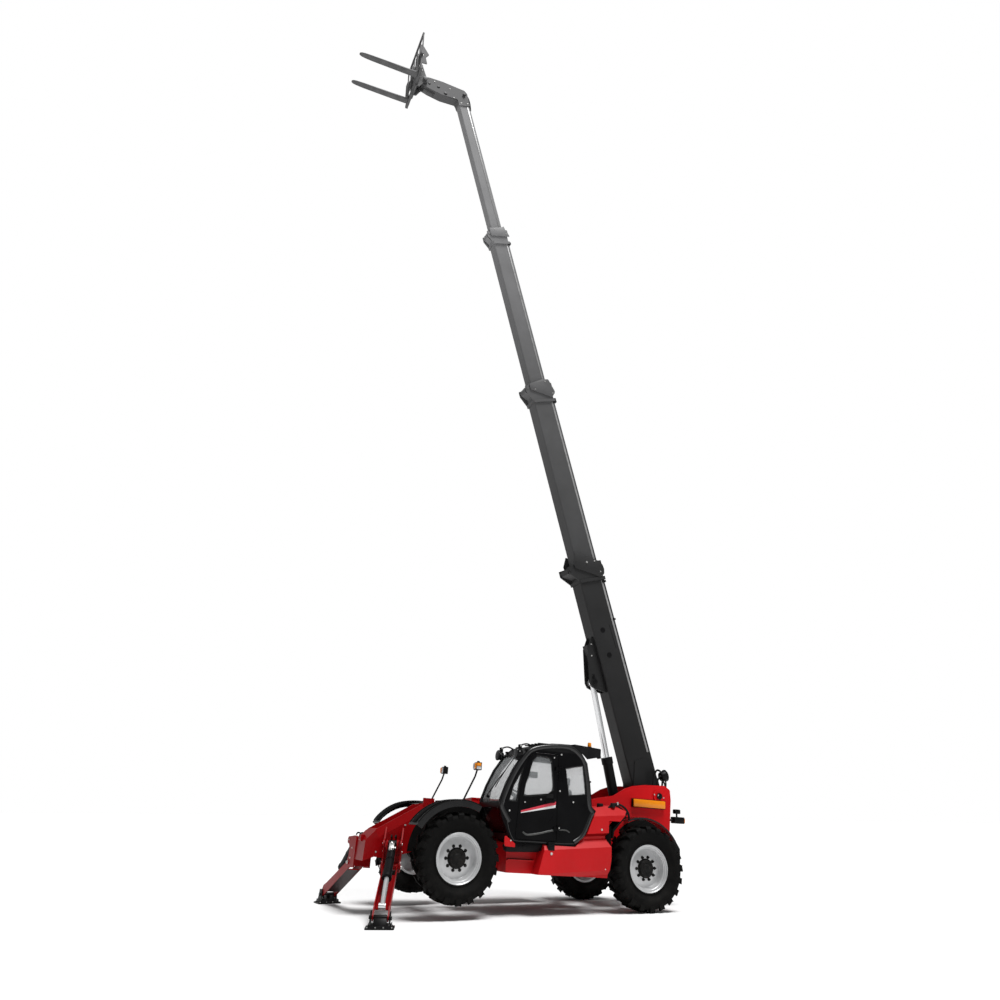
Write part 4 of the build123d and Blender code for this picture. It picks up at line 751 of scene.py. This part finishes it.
# The glass is darkened below the window line as painted shade of the dark cab behind it.
faded(glass, "Z", ((0.9, 0.02), (1.42, 0.03), (1.62, 1.0), (2.3, 1.0)))
wear("cab_shell", cab_black)
wear("cab_door", cab_black)
wear("cab_windows", glass)
wear("door_window", glass)
guard_black = finish("guard_black", (0.0030, 0.0030, 0.0034), (0.0085, 0.0085, 0.0090), 0.26, patch=4,
                     grain=0.10, grain_size=0.002, specular=0.35)
wear("mudguards", guard_black)
for node in ("cab_roof", "cab_controls"):
    wear(node, moulding)

# --- Cab frame and trim -------------------------------------------------------
# A bent steel tube runs all round the cab's door side. Window rubbers, wiper,
# lamps, beacon and the door's painted stripe and pressed ridge sit on it.
CAB_X = WHEELBASE - 0.605
DOOR_FACE = 1.130
hoop_line = [
    (-0.140, 1.120), (-0.018, 1.300), (-0.024, 1.410), (-0.092, 1.600), (-0.204, 1.830), (-0.352, 2.046),
    (-0.490, 2.158), (-0.780, 2.221), (-1.080, 2.232), (-1.258, 2.140), (-1.354, 2.008), (-1.408, 1.722),
    (-1.444, 1.420), (-1.500, 1.330), (-1.468, 1.270), (-1.340, 1.010), (-1.190, 0.895),
]
sill_line = [(-1.190, 0.880), (-1.000, 0.872), (-0.600, 0.872), (-0.260, 0.872), (-0.200, 0.905),
             (-0.140, 1.010), (-0.095, 1.150)]
hoop = joined(
    hose([(CAB_X + x, 1.108, z) for x, z in hoop_line], 0.038, sides=16, steps=5),
    hose([(CAB_X + x, 1.108, z) for x, z in sill_line], 0.023, sides=14, steps=5),
)
piece("cab_side_hoop", hoop, "chassis", hoop_black, ON_CHASSIS, smooth=60)
far_hoop = hose([(CAB_X + x, 0.337, z) for x, z in hoop_line], 0.030, sides=12, steps=5)
piece("cab_inner_hoop", far_hoop, "chassis", hoop_black, ON_CHASSIS, smooth=60)


def rubber_round(outline, y, shrink=0.0, radius=0.0085):
    """A window rubber round an X-Z outline, its corners kept tight."""
    middle = Vector((sum(x for x, z in outline), sum(z for x, z in outline))) / len(outline)
    points = []
    for i, (x, z) in enumerate(outline):
        there = Vector(outline[(i + 1) % len(outline)])
        here = Vector((x, z))
        for share in (0.08, 0.92):
            point = here.lerp(there, share)
            point += (middle - point).normalized() * shrink
            points.append((CAB_X + point.x, y, point.y))
    return hose(points, radius, sides=8, steps=2, closed=True)


door_glass = [
    (-0.412, 1.793), (-0.460, 1.976), (-0.540, 2.065), (-0.743, 2.050), (-0.783, 2.010), (-0.826, 1.681),
    (-0.829, 1.600), (-0.746, 1.537), (-0.342, 1.483), (-0.362, 1.643),
]
quarter = [(-1.021, 1.918), (-1.325, 1.986), (-1.384, 1.576), (-1.082, 1.538)]
vent = [(-0.315, 1.868), (-0.176, 1.620), (-0.110, 1.400), (-0.236, 1.400), (-0.262, 1.640)]
piece("door_window_rubber", rubber_round(door_glass, 1.129), "cab_door", rubber_hose,
      ON_CHASSIS)
side_rubbers = joined(rubber_round(quarter, 1.129), rubber_round(vent, 1.129))
piece("side_window_rubbers", side_rubbers, "chassis", rubber_hose, ON_CHASSIS)
stripe_red = finish("stripe_red", (0.56, 0.035, 0.060), (0.64, 0.050, 0.080), 0.30, patch=8, specular=0.3)
stripe_white = finish("stripe_white", (0.66, 0.66, 0.66), (0.74, 0.74, 0.74), 0.30, patch=8, specular=0.3)
stripe = slab([(2.160, 1.279), (1.590, 1.440), (1.593, 1.392), (2.150, 1.256)], 1.1305, 1.1330, 0.0007)
piece("door_stripe_red", stripe, "cab_door", stripe_red, ON_CHASSIS)
under_stripe = slab([(2.152, 1.258), (1.593, 1.394), (1.596, 1.354), (2.156, 1.245)], 1.1304, 1.1326, 0.0007)
piece("door_stripe_white", under_stripe, "cab_door", stripe_white, ON_CHASSIS)
grey_trim_and_painted_highlight = finish("trim_grey_and_painted_highlight", (0.045, 0.047, 0.045), (0.070, 0.072, 0.070), 0.35, patch=10, grain=0.1,
                   grain_size=0.002, specular=0.3)
# The pressed ridges are grey as a painted highlight along their crests.
ridge = hose([(2.110, 1.127, 0.996), (2.075, 1.129, 0.972), (2.010, 1.129, 0.960),
              (1.833, 1.129, 0.990), (1.700, 1.129, 1.024), (1.610, 1.129, 1.042)], 0.014, sides=12,
             flat=0.7)
piece("door_ridge", ridge, "cab_door", grey_trim_and_painted_highlight, ON_CHASSIS)
rear_ridge = hose([(1.530, 1.128, 1.052), (1.440, 1.129, 1.056), (1.390, 1.129, 1.048),
                   (1.352, 1.128, 1.028)],
                  0.010, sides=10, flat=0.7)
piece("shell_ridge", rear_ridge, "chassis", grey_trim_and_painted_highlight, ON_CHASSIS)
door_trim = joined(
    block((1.640, 1.760), (1.129, 1.142), (1.480, 1.540), 0.008),
    rod((1.615, 1.130, 1.460), (1.615, 1.148, 1.460), 0.017, sides=20, soften=0.003),
    slab([(1.760, 1.528), (2.110, 1.482), (2.104, 1.466), (1.756, 1.512)], 1.130, 1.137, 0.003),
)
piece("door_lock_and_rail", door_trim, "cab_door", moulding, ON_CHASSIS)
door_bolts = joined(*[bolt((x, 1.1300, z), (0, 1, 0), 0.009)
                      for x, z in ((1.838, 1.452), (2.096, 1.399), (1.640, 2.060))])
piece("door_bolts", door_bolts, "cab_door", zinc, ON_CHASSIS)
shell_bolts = joined(*[bolt((x, 1.1300, z), (0, 1, 0), 0.0105)
                       for x, z in ((1.520, 2.115), (1.530, 1.592), (1.528, 1.079), (2.336, 1.267),
                                    (1.300, 1.452))])
piece("shell_bolts", shell_bolts, "chassis", zinc, ON_CHASSIS)
wiper = joined(
    rod((2.470, 0.640, 1.450), (2.505, 0.640, 1.462), 0.020, sides=18, soften=0.003),
    hose([(2.508, 0.640, 1.463), (2.470, 0.720, 1.560), (2.400, 0.830, 1.720), (2.356, 0.880, 1.800)], 0.007,
         sides=8),
    hose([(2.440, 0.790, 1.590), (2.395, 0.850, 1.710), (2.318, 0.915, 1.868), (2.225, 0.960, 2.020)],
         0.0065, sides=8),
)
piece("windscreen_wiper", wiper, "chassis", plate_black, ON_CHASSIS)
lamp_bits = []
for y in (1.085, 0.365):
    lamp_bits += [
        rod((2.165, y, 2.075), (2.235, y, 2.082), 0.052, 0.073, sides=32, soften=0.006),
        rod((2.235, y, 2.082), (2.262, y, 2.085), 0.078, sides=32, soften=0.005),
        block((2.175, 2.222), (y - 0.030, y + 0.030), (2.130, 2.205), 0.010),
        hose([(1.990, y, 2.196), (2.080, y, 2.222), (2.160, y, 2.205), (2.198, y, 2.170)], 0.011, sides=10),
        block((2.010, 2.120), (y - 0.025, y + 0.025), (2.120, 2.150), 0.006),
    ]
lamp_bits.append(block((2.185, 2.250), (1.030, 1.122), (1.978, 2.066), 0.012))
piece("roof_work_lamps", joined(*lamp_bits), "chassis", plate_black, ON_CHASSIS)
lamp_glass = joined(*[rod((2.261, y, 2.085), (2.267, y, 2.0855), 0.070, sides=32, soften=0.002)
                      for y in (1.085, 0.365)])
smoked_lens = finish("smoked_lens", (0.012, 0.012, 0.013), (0.030, 0.030, 0.032), 0.12, patch=30,
                     specular=0.5)
piece("roof_lamp_lenses", lamp_glass, "chassis", smoked_lens, ON_CHASSIS)
lamp_bolts = joined(*[bolt((2.198, y + 0.031, 2.185), (0, 1, 0), 0.010) for y in (1.085, 0.365)],
                    *[bolt((2.232, y + 0.070, 2.100), (0, 1, 0), 0.008) for y in (1.085, 0.365)])
piece("roof_lamp_bolts", lamp_bolts, "chassis", zinc, ON_CHASSIS)
piece("beacon_lens", rod((0.970, 1.000, 2.285), (0.970, 1.000, 2.352), 0.031, 0.026, sides=24, soften=0.007),
      "chassis", amber, ON_CHASSIS)
roof_bits = joined(
    rod((0.970, 1.000, 2.268), (0.970, 1.000, 2.290), 0.040, 0.036, sides=24, soften=0.003),
    rod((0.838, 1.030, 2.140), (0.838, 1.104, 2.140), 0.022, sides=18, soften=0.003),
    rod((0.838, 0.350, 2.140), (0.838, 0.410, 2.140), 0.022, sides=18, soften=0.003),
    *[rod((CAB_X - 1.080, y, 2.268), (CAB_X - 0.620, y, 2.262), 0.010, sides=12)
      for y in (0.480, 0.600, 0.720, 0.840, 0.960)],
    rod((1.050, 1.112, 1.755), (0.998, 1.112, 1.764), 0.014, sides=14, soften=0.002),
)
piece("roof_guard_and_beacon_base", roof_bits, "chassis", plate_black, ON_CHASSIS)
display = joined(
    block((1.585, 1.735), (0.440, 0.452), (1.790, 1.885), 0.006),
    hose([(1.735, 0.446, 1.850), (1.775, 0.440, 1.850), (1.785, 0.400, 1.840), (1.785, 0.362, 1.835)],
         0.008),
    rod((1.745, 0.446, 1.760), (1.745, 0.446, 1.870), 0.009, sides=12),
)
piece("cab_display", display, "chassis", grey_trim_and_painted_highlight, ON_CHASSIS)
MAST_Y = 0.755
heads = joined(
    block((2.688, 2.700), (MAST_Y - 0.058, MAST_Y + 0.058), (1.812, 1.908), 0.004),
    slab([(2.755, 1.905), (2.775, 1.895), (2.775, 1.815), (2.755, 1.805)], MAST_Y - 0.066, MAST_Y + 0.066,
         0.004),
    rod((2.725, MAST_Y, 1.915), (2.725, MAST_Y, 1.935), 0.020, sides=16, soften=0.003),
)
piece("mast_lamp_cases", both_sides(heads), "chassis", plate_black, ON_CHASSIS)
turn_lenses = joined(block((2.772, 2.786), (MAST_Y + 0.004, MAST_Y + 0.060), (1.820, 1.900), 0.005),
                     block((2.700, 2.770), (MAST_Y + 0.060, MAST_Y + 0.070), (1.862, 1.905), 0.004))
piece("mast_turn_lenses", both_sides(turn_lenses), "chassis", amber, ON_CHASSIS)
head_lenses = joined(block((2.772, 2.784), (MAST_Y - 0.060, MAST_Y - 0.002), (1.820, 1.900), 0.005),
                     block((2.700, 2.770), (MAST_Y + 0.060, MAST_Y + 0.069), (1.815, 1.856), 0.004))
piece("mast_head_lenses", both_sides(head_lenses), "chassis", clear_lens, ON_CHASSIS)

# --- Operator's seat and levers -----------------------------------------------
# A sprung pedestal under stuffed cushions in black cloth for seat, back and headrest,
# with an armrest that carries the joystick.
SEAT_Y = (0.315 + DOOR_FACE) / 2
SEAT_X = CAB_X - 0.985
cloth = finish("seat_cloth", (0.010, 0.010, 0.011), (0.022, 0.022, 0.024), 0.9, patch=20, grain=0.5,
               grain_size=0.0012, specular=0.1)


def bake(made):
    """Applies every modifier on a piece to its mesh."""
    shaped = made.evaluated_get(bpy.context.evaluated_depsgraph_get())
    mesh = bpy.data.meshes.new_from_object(shaped)
    made.modifiers.clear()
    made.data = mesh


def stuff(pad, pressure, cap):
    """Blows a pad up as cloth, with its swelling held to a cap."""
    remesh = pad.modifiers.new("voxels", "REMESH")
    remesh.mode = "VOXEL"
    remesh.voxel_size = 0.012
    bake(pad)
    before = [vert.co.copy() for vert in pad.data.vertices]
    swell = pad.modifiers.new("stuffing", "CLOTH")
    swell.settings.use_pressure = True
    swell.settings.uniform_pressure_force = pressure
    swell.settings.effector_weights.gravity = 0
    scene = bpy.context.scene
    for step in range(1, SWELL_FRAMES + 1):
        scene.frame_set(step)
    bake(pad)
    scene.frame_set(1)
    for vert, start in zip(pad.data.vertices, before):
        moved = vert.co - start
        if moved.length > cap:
            vert.co = start + moved.normalized() * cap
    smoother = pad.modifiers.new("smoother", "SUBSURF")
    smoother.levels = smoother.render_levels = 1
    pad.data.shade_smooth()


def cushion(name, outline, half_width, cap):
    """A padded block of the seat, covered in cloth."""
    shape = slab(outline, SEAT_Y - half_width, SEAT_Y + half_width, 0.028)
    pad = piece(name, shape, "chassis", cloth, ON_CHASSIS, smooth=60)
    stuff(pad, STUFFING, cap)


STUFFING = 4
SWELL_FRAMES = 20
cushion("seat_cushion", [(SEAT_X - 0.235, 1.150), (SEAT_X + 0.245, 1.168), (SEAT_X + 0.248, 1.256),
                         (SEAT_X - 0.235, 1.238)], 0.222, 0.014)
cushion("seat_back", [(SEAT_X - 0.245, 1.290), (SEAT_X - 0.172, 1.290), (SEAT_X - 0.205, 1.640),
                      (SEAT_X - 0.272, 1.640)], 0.215, 0.014)
cushion("seat_headrest", [(SEAT_X - 0.270, 1.680), (SEAT_X - 0.215, 1.680), (SEAT_X - 0.222, 1.815),
                          (SEAT_X - 0.275, 1.815)], 0.140, 0.010)
base = joined(
    block((SEAT_X - 0.165, SEAT_X + 0.165), (SEAT_Y - 0.165, SEAT_Y + 0.165), (0.895, 0.935), 0.006),
    *[block((SEAT_X - 0.145, SEAT_X + 0.145), (SEAT_Y - 0.150, SEAT_Y + 0.150), (z, z + 0.022), 0.008)
      for z in (0.940, 0.968, 0.996, 1.024, 1.052)],
    block((SEAT_X - 0.220, SEAT_X + 0.230), (SEAT_Y - 0.205, SEAT_Y + 0.205), (1.085, 1.142), 0.012),
    slab([(SEAT_X - 0.262, 1.110), (SEAT_X - 0.235, 1.110), (SEAT_X - 0.262, 1.780),
          (SEAT_X - 0.289, 1.780)],
         SEAT_Y - 0.060, SEAT_Y + 0.060, 0.006),
    block((SEAT_X - 0.060, SEAT_X + 0.230), (SEAT_Y - 0.235, SEAT_Y - 0.205), (1.120, 1.330), 0.010),
)
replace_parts(piece("seat_base", base, "chassis", moulding, ON_CHASSIS), "operator_seat")
levers = joined(
    block((SEAT_X - 0.060, SEAT_X + 0.270), (SEAT_Y - 0.262, SEAT_Y - 0.200), (1.330, 1.375), 0.014),
    rod((SEAT_X + 0.215, SEAT_Y - 0.230, 1.370), (SEAT_X + 0.235, SEAT_Y - 0.230, 1.440), 0.008, sides=12),
    rod((SEAT_X + 0.235, SEAT_Y - 0.230, 1.435), (SEAT_X + 0.255, SEAT_Y - 0.230, 1.530), 0.020, 0.026,
        sides=18, soften=0.006),
    rod((CAB_X - 0.400, SEAT_Y + 0.110, 1.440), (CAB_X - 0.440, SEAT_Y + 0.230, 1.500), 0.007, sides=12),
    rod((CAB_X - 0.438, SEAT_Y + 0.225, 1.496), (CAB_X - 0.448, SEAT_Y + 0.255, 1.510), 0.013, sides=14,
        soften=0.003),
    block((CAB_X - 0.470, CAB_X - 0.380), (SEAT_Y - 0.150, SEAT_Y - 0.070), (0.900, 0.925), 0.006),
    block((CAB_X - 0.470, CAB_X - 0.380), (SEAT_Y + 0.070, SEAT_Y + 0.150), (0.900, 0.925), 0.006),
)
piece("joystick_and_levers", levers, "chassis", moulding, ON_CHASSIS)

# --- Boom finishes ------------------------------------------------------------
# Four folded and welded box sections in satin grey, lighter up the boom section by
# section and with height, as painted light. Carriage and tines are painted dark grey and worn.
boom_ahead = Vector(joints["boom_extend"]["axis"]).normalized()
boom_back = boom_ahead.cross(Vector((0, 1, 0)))
boom_foot = Vector(joints["boom_lift"]["pos_m"])
ON_BOOM = Matrix.Translation((boom_foot.x, 0, boom_foot.z)) @ Matrix(
    (boom_ahead, Vector((0, 1, 0)), boom_back)).transposed().to_4x4()
# Painted light, paler with height in each section: pairs of a height and the colour's share of white there.
SECTION_GREYS_AND_PAINTED_LIGHT = {
    1: ((1.4, 0.012), (6.0, 0.032)),
    2: ((4.9, 0.046), (9.2, 0.116)),
    3: ((8.4, 0.104), (12.7, 0.232)),
    4: ((11.9, 0.250), (15.74, 0.262), (15.84, 0.085), (16.5, 0.075)),
}
greys = {}
for number, tones_and_painted_light in SECTION_GREYS_AND_PAINTED_LIGHT.items():
    greys[number] = finish(f"boom_grey_{number}", (0.84, 0.84, 0.85), (1.0, 1.0, 1.02), 0.42, patch=1.6,
                           grain=0.10, grain_size=0.004, specular=0.18)
    faded(greys[number], "Z", tones_and_painted_light)
    wear(f"boom_section_{number}", greys[number])
highlight_strip_grey = finish("highlight_strip_grey", (0.22, 0.22, 0.22), (0.34, 0.34, 0.34), 0.30, patch=12, grain=0.08,
                   grain_size=0.002, specular=0.5)
fork_black = finish("fork_paint", (0.060, 0.060, 0.061), (0.105, 0.105, 0.106), 0.45, patch=9, grain=0.2,
                    grain_size=0.003, specular=0.2)
wear("fork_carriage", fork_black)
wear("fork_tines", fork_black)

# --- Boom fittings ------------------------------------------------------------
# Slanted cheek plates bolted over each collar, light grey strips along the upper edges
# as a painted highlight, round plugs over the pad bolts and caps on the lift cylinder's upper pin.
SECTIONS = {
    1: ("boom_base", 0.165, 0.250), 2: ("boom_second", 0.137, 0.222),
    3: ("boom_third", 0.110, 0.160), 4: ("boom_fourth", 0.083, 0.100),
}
CHEEKS = {
    1: [(4.377, -0.229), (4.230, 0.030), (4.186, 0.150), (4.130, 0.235), (4.060, 0.272), (3.984, 0.280),
        (3.905, 0.258), (3.860, 0.205), (3.853, 0.141), (3.925, 0.010), (3.960, -0.060), (4.076, -0.317),
        (4.200, -0.330)],
    2: [(7.908, 0.042), (7.905, 0.177), (7.880, 0.192), (7.640, 0.262), (7.600, 0.250), (7.509, 0.165),
        (7.609, -0.056), (7.690, -0.262), (7.820, -0.262)],
    3: [(11.240, -0.235), (11.430, -0.235), (11.455, 0.035), (11.484, 0.110), (11.400, 0.125),
        (11.270, 0.184), (11.235, 0.184)],
}
CHEEK_Y = {1: 0.190, 2: 0.162, 3: 0.135}
HIGHLIGHT_STRIPS = {1: (0.700, 3.790), 2: (3.480, 7.420), 3: (7.260, 11.055), 4: (10.800, 14.620)}
for number, (body, half, top) in SECTIONS.items():
    strip_low, strip_high = HIGHLIGHT_STRIPS[number]
    # The strip is light grey as a painted highlight on the section's rounded upper corner.
    highlight_strip = slab([(strip_low, top - 0.048), (strip_high, top - 0.048), (strip_high, top - 0.082),
                 (strip_low, top - 0.082)],
                half - 0.001, half + 0.005, 0.0015)
    piece(f"painted_highlight_strip_{number}", both_sides(highlight_strip), body, highlight_strip_grey, ON_BOOM)
    if number in CHEEKS:
        y = CHEEK_Y[number]
        cheek = slab(CHEEKS[number], y, y + 0.010, 0.002)
        piece(f"collar_cheek_{number}", both_sides(cheek), body, greys[number], ON_BOOM)
pins = {
    1: [(4.163, 0.120, 0.013), (4.160, -0.049, 0.016), (3.950, 0.190, 0.010)],
    2: [(7.600, 0.205, 0.011), (7.860, 0.100, 0.010), (7.700, -0.160, 0.010)],
    3: [(11.300, 0.120, 0.009), (11.400, -0.120, 0.009)],
}
for number, spots in pins.items():
    body, half, top = SECTIONS[number]
    heads = joined(*[bolt((s, CHEEK_Y[number] + 0.0095, n), (0, 1, 0), size) for s, n, size in spots])
    piece(f"collar_bolts_{number}", both_sides(heads), body, zinc, ON_BOOM)
dark_bits = joined(
    *[rod((s, 0.164, n), (s, 0.170, n), 0.048, sides=36, soften=0.002)
      for s, n in ((2.446, -0.067), (2.900, -0.067))],
    slab([(2.540, 0.112), (2.980, 0.094), (2.980, 0.088), (2.540, 0.106)], 0.164, 0.167),
    block((3.745, 3.785), (0.120, 0.185), (0.180, 0.262), 0.006),
    block((3.035, 3.070), (0.140, 0.178), (0.196, 0.256), 0.005),
)
piece("base_section_plugs", both_sides(dark_bits), "boom_base", plate_black, ON_BOOM)
stops = {2: (7.405, 7.500), 3: (11.060, 11.110)}
for number, (stop_low, stop_high) in stops.items():
    body, half, top = SECTIONS[number]
    stop = block((stop_low, stop_high), (half - 0.040, half + 0.024), (top - 0.050, top + 0.026), 0.006)
    piece(f"end_stop_{number}", both_sides(stop), body, plate_black, ON_BOOM)
LIFT_EYE = (2.050, -0.450)
lift_caps = joined(
    rod((LIFT_EYE[0], 0.105, LIFT_EYE[1]), (LIFT_EYE[0], 0.118, LIFT_EYE[1]), 0.046, sides=32, soften=0.004),
    block((LIFT_EYE[0] + 0.030, LIFT_EYE[0] + 0.130), (0.104, 0.112),
          (LIFT_EYE[1] - 0.020, LIFT_EYE[1] + 0.020), 0.003),
)
piece("lift_pin_caps", both_sides(lift_caps), "boom_base", plate_black, ON_BOOM)
bracket_bolts = joined(*[bolt((s, 0.0915, n), (0, 1, 0), 0.011)
                         for s, n in ((2.160, -0.450), (2.500, -0.380), (2.700, -0.330))])
piece("lift_bracket_bolts", both_sides(bracket_bolts), "boom_base", zinc, ON_BOOM)

# --- Head and carriage fittings -----------------------------------------------
# Pins at the jib, hoses down to the coupler, forged steel tines that hook over the
# carriage, and the carriage's locking bar. All are dark painted steel.
jib_pins = joined(
    rod((14.930, 0.115, 0.020), (14.930, 0.124, 0.020), 0.040, sides=28, soften=0.003),
    *[rod((s, 0.098, n), (s, 0.103, n), r, sides=28, soften=0.002)
      for s, n, r in ((14.905, -0.430, 0.040), (15.060, -0.560, 0.034), (15.120, -0.760, 0.030))],
)
piece("jib_pins_and_plugs", both_sides(jib_pins), "boom_fourth", plate_black, ON_BOOM)
jib_hoses = joined(*[
    hose([(14.560, y, 0.112), (14.760, y, 0.140), (14.930, y * 1.2, 0.118), (15.010, y * 1.25, 0.020)],
         0.012)
    for y in (-0.050, -0.022, 0.022, 0.050)])
piece("jib_hoses", jib_hoses, "boom_fourth", rubber_hose, ON_BOOM)
jib_bolts = joined(*[bolt((s, 0.0985, n), (0, 1, 0), 0.010)
                     for s, n in ((14.700, 0.050), (14.700, -0.100), (14.820, -0.250), (15.200, -0.620),
                                  (15.050, -0.300))])
piece("jib_bolts", both_sides(jib_bolts), "boom_fourth", zinc, ON_BOOM)
tilt_pin = Vector(joints["carriage_tilt"]["pos_m"])
ON_CARRIAGE = Matrix.Translation((tilt_pin.x, 0, tilt_pin.z))
carriage_bits = joined(
    rod((0, 0.156, 0), (0, 0.168, 0), 0.052, sides=32, soften=0.004),
    block((0.236, 0.262), (0.300, 0.424), (0.296, 0.318), 0.004),
    block((0.150, 0.232), (0.330, 0.392), (0.301, 0.316), 0.004),
    rod((0.190, 0.361, 0.300), (0.190, 0.361, 0.345), 0.014, sides=16, soften=0.003),
    rod((0.150, 0.130, 0.020), (0.150, 0.150, 0.020), 0.026, sides=24, soften=0.003),
    rod((0.168, 0.118, -0.180), (0.168, 0.300, -0.180), 0.022, sides=20, soften=0.003),
)
piece("carriage_locks", both_sides(carriage_bits), "carriage", fork_black, ON_CARRIAGE)
low, high = (ON_CARRIAGE.inverted() @ Vector(corner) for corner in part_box("fork_tines"))
TINE_WIDTH = 0.123
TINE_Y = 0.361
heel, tip, under, top = low.x + 0.0005, high.x, low.z + 0.0005, high.z - 0.001
# Cross-sections from the shank's top round the heel to the tip: back, front, share of the width.
tine_rings = [
    ((heel, top), (heel + 0.034, top), 1.0),
    ((heel, top - 0.030), (heel + 0.047, top - 0.045), 1.0),
    ((heel, under + 0.040), (heel + 0.047, under + 0.085), 1.0),
    ((heel + 0.010, under + 0.014), (heel + 0.056, under + 0.060), 1.0),
    ((heel + 0.036, under), (heel + 0.078, under + 0.048), 1.0),
    ((heel + 0.300, under + 0.002), (heel + 0.300, under + 0.046), 1.0),
    ((tip - 0.260, under + 0.020), (tip - 0.260, under + 0.045), 0.98),
    ((tip - 0.110, under + 0.028), (tip - 0.110, under + 0.044), 0.90),
    ((tip - 0.045, under + 0.031), (tip - 0.045, under + 0.043), 0.74),
    ((tip - 0.012, under + 0.033), (tip - 0.012, under + 0.042), 0.50),
    ((tip - 0.001, under + 0.035), (tip - 0.001, under + 0.041), 0.24),
]
tine = bmesh.new()
rings = [[tine.verts.new((x, TINE_Y + way * share * TINE_WIDTH / 2, z)) for (x, z), way in
          ((back, -1), (front, -1), (front, 1), (back, 1))] for back, front, share in tine_rings]
for ring, following in zip(rings, rings[1:]):
    for k in range(4):
        tine.faces.new((ring[k], ring[(k + 1) % 4], following[(k + 1) % 4], following[k]))
tine.faces.new(rings[0])
tine.faces.new(rings[-1])
tines = piece("forged_tines", both_sides(softened(tine, 0.004)), "carriage", fork_black,
              ON_CARRIAGE)
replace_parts(tines, "fork_tines")
carriage_bolts = joined(*[bolt((0.170, y, z), (-1, 0, 0), 0.013) for y in (0.200, 0.480)
                          for z in (-0.185, 0.255)])
piece("carriage_bolts", both_sides(carriage_bolts), "carriage", zinc, ON_CARRIAGE)
coupler_hoses = joined(*[
    hose([(0.172, y, 0.262), (0.158, y, 0.335), (0.176, y * 1.3, 0.400), (0.182, y * 1.8, 0.330)], 0.010)
    for y in (-0.085, 0.085)])
piece("coupler_hoses", coupler_hoses, "carriage", rubber_hose, ON_CARRIAGE)

# --- Stage --------------------------------------------------------------------
# Plain white floor and soft studio light from above, with the camera low on the
# cab side, ahead of the machine and looking up along the boom.
STAGE_SIZE = 400
floor_mesh = bmesh.new()
bmesh.ops.create_grid(floor_mesh, x_segments=1, y_segments=1, size=STAGE_SIZE / 2,
                      matrix=Matrix.Translation((0, 0, -0.002)))
floor_data = bpy.data.meshes.new("floor")
floor_mesh.to_mesh(floor_data)
floor_mesh.free()
floor = bpy.data.objects.new("floor", floor_data)
floor.data.materials.append(finish("floor_white", (0.86, 0.86, 0.86), (0.9, 0.9, 0.9), 0.85, patch=0.5,
                                   specular=0.0))
bpy.context.scene.collection.objects.link(floor)

world = bpy.data.worlds.new("studio")
bpy.context.scene.world = world
world.use_nodes = True
nodes, links = world.node_tree.nodes, world.node_tree.links
sky = nodes["Background"]
sky.inputs["Color"].default_value = (1, 1, 1, 1)
sky.inputs["Strength"].default_value = 0.26
bright = nodes.new("ShaderNodeBackground")
bright.inputs["Color"].default_value = (1, 1, 1, 1)
bright.inputs["Strength"].default_value = 1.0
seen = nodes.new("ShaderNodeLightPath")
choose = nodes.new("ShaderNodeMixShader")
links.new(seen.outputs["Is Camera Ray"], choose.inputs["Fac"])
links.new(sky.outputs["Background"], choose.inputs[1])
links.new(bright.outputs["Background"], choose.inputs[2])
links.new(choose.outputs["Shader"], nodes["World Output"].inputs["Surface"])


def sun(name, strength, spread, toward):
    """A broad even light that shines along a direction."""
    data = bpy.data.lights.new(name, "SUN")
    data.energy = strength
    data.angle = math.radians(spread)
    lamp = bpy.data.objects.new(name, data)
    lamp.rotation_mode = "QUATERNION"
    lamp.rotation_quaternion = Vector(toward).to_track_quat("-Z", "Y")
    bpy.context.scene.collection.objects.link(lamp)
    return lamp


sun("overhead", 3.3, 25, (0.14, -0.32, -0.94))

EYE_POINT = Vector((5.142, 12.412, 1.359))
YAW, PITCH, ROLL = math.radians(-112.73), math.radians(21.58), math.radians(0.68)
ahead = Vector((math.cos(YAW) * math.cos(PITCH), math.sin(YAW) * math.cos(PITCH), math.sin(PITCH)))
right = Vector((math.sin(YAW), -math.cos(YAW), 0))
up = right.cross(ahead)
rolled_right = right * math.cos(ROLL) + up * math.sin(ROLL)
rolled_up = up * math.cos(ROLL) - right * math.sin(ROLL)
camera_data = bpy.data.cameras.new("view")
camera_data.lens = 28.49
camera_data.sensor_width = 36
camera_data.clip_end = 500
camera = bpy.data.objects.new("view", camera_data)
camera.matrix_world = Matrix.Translation(EYE_POINT) @ Matrix((rolled_right, rolled_up,
                                                              -ahead)).transposed().to_4x4()
bpy.context.scene.collection.objects.link(camera)
bpy.context.scene.camera = camera
bpy.context.scene.view_settings.view_transform = "Standard"
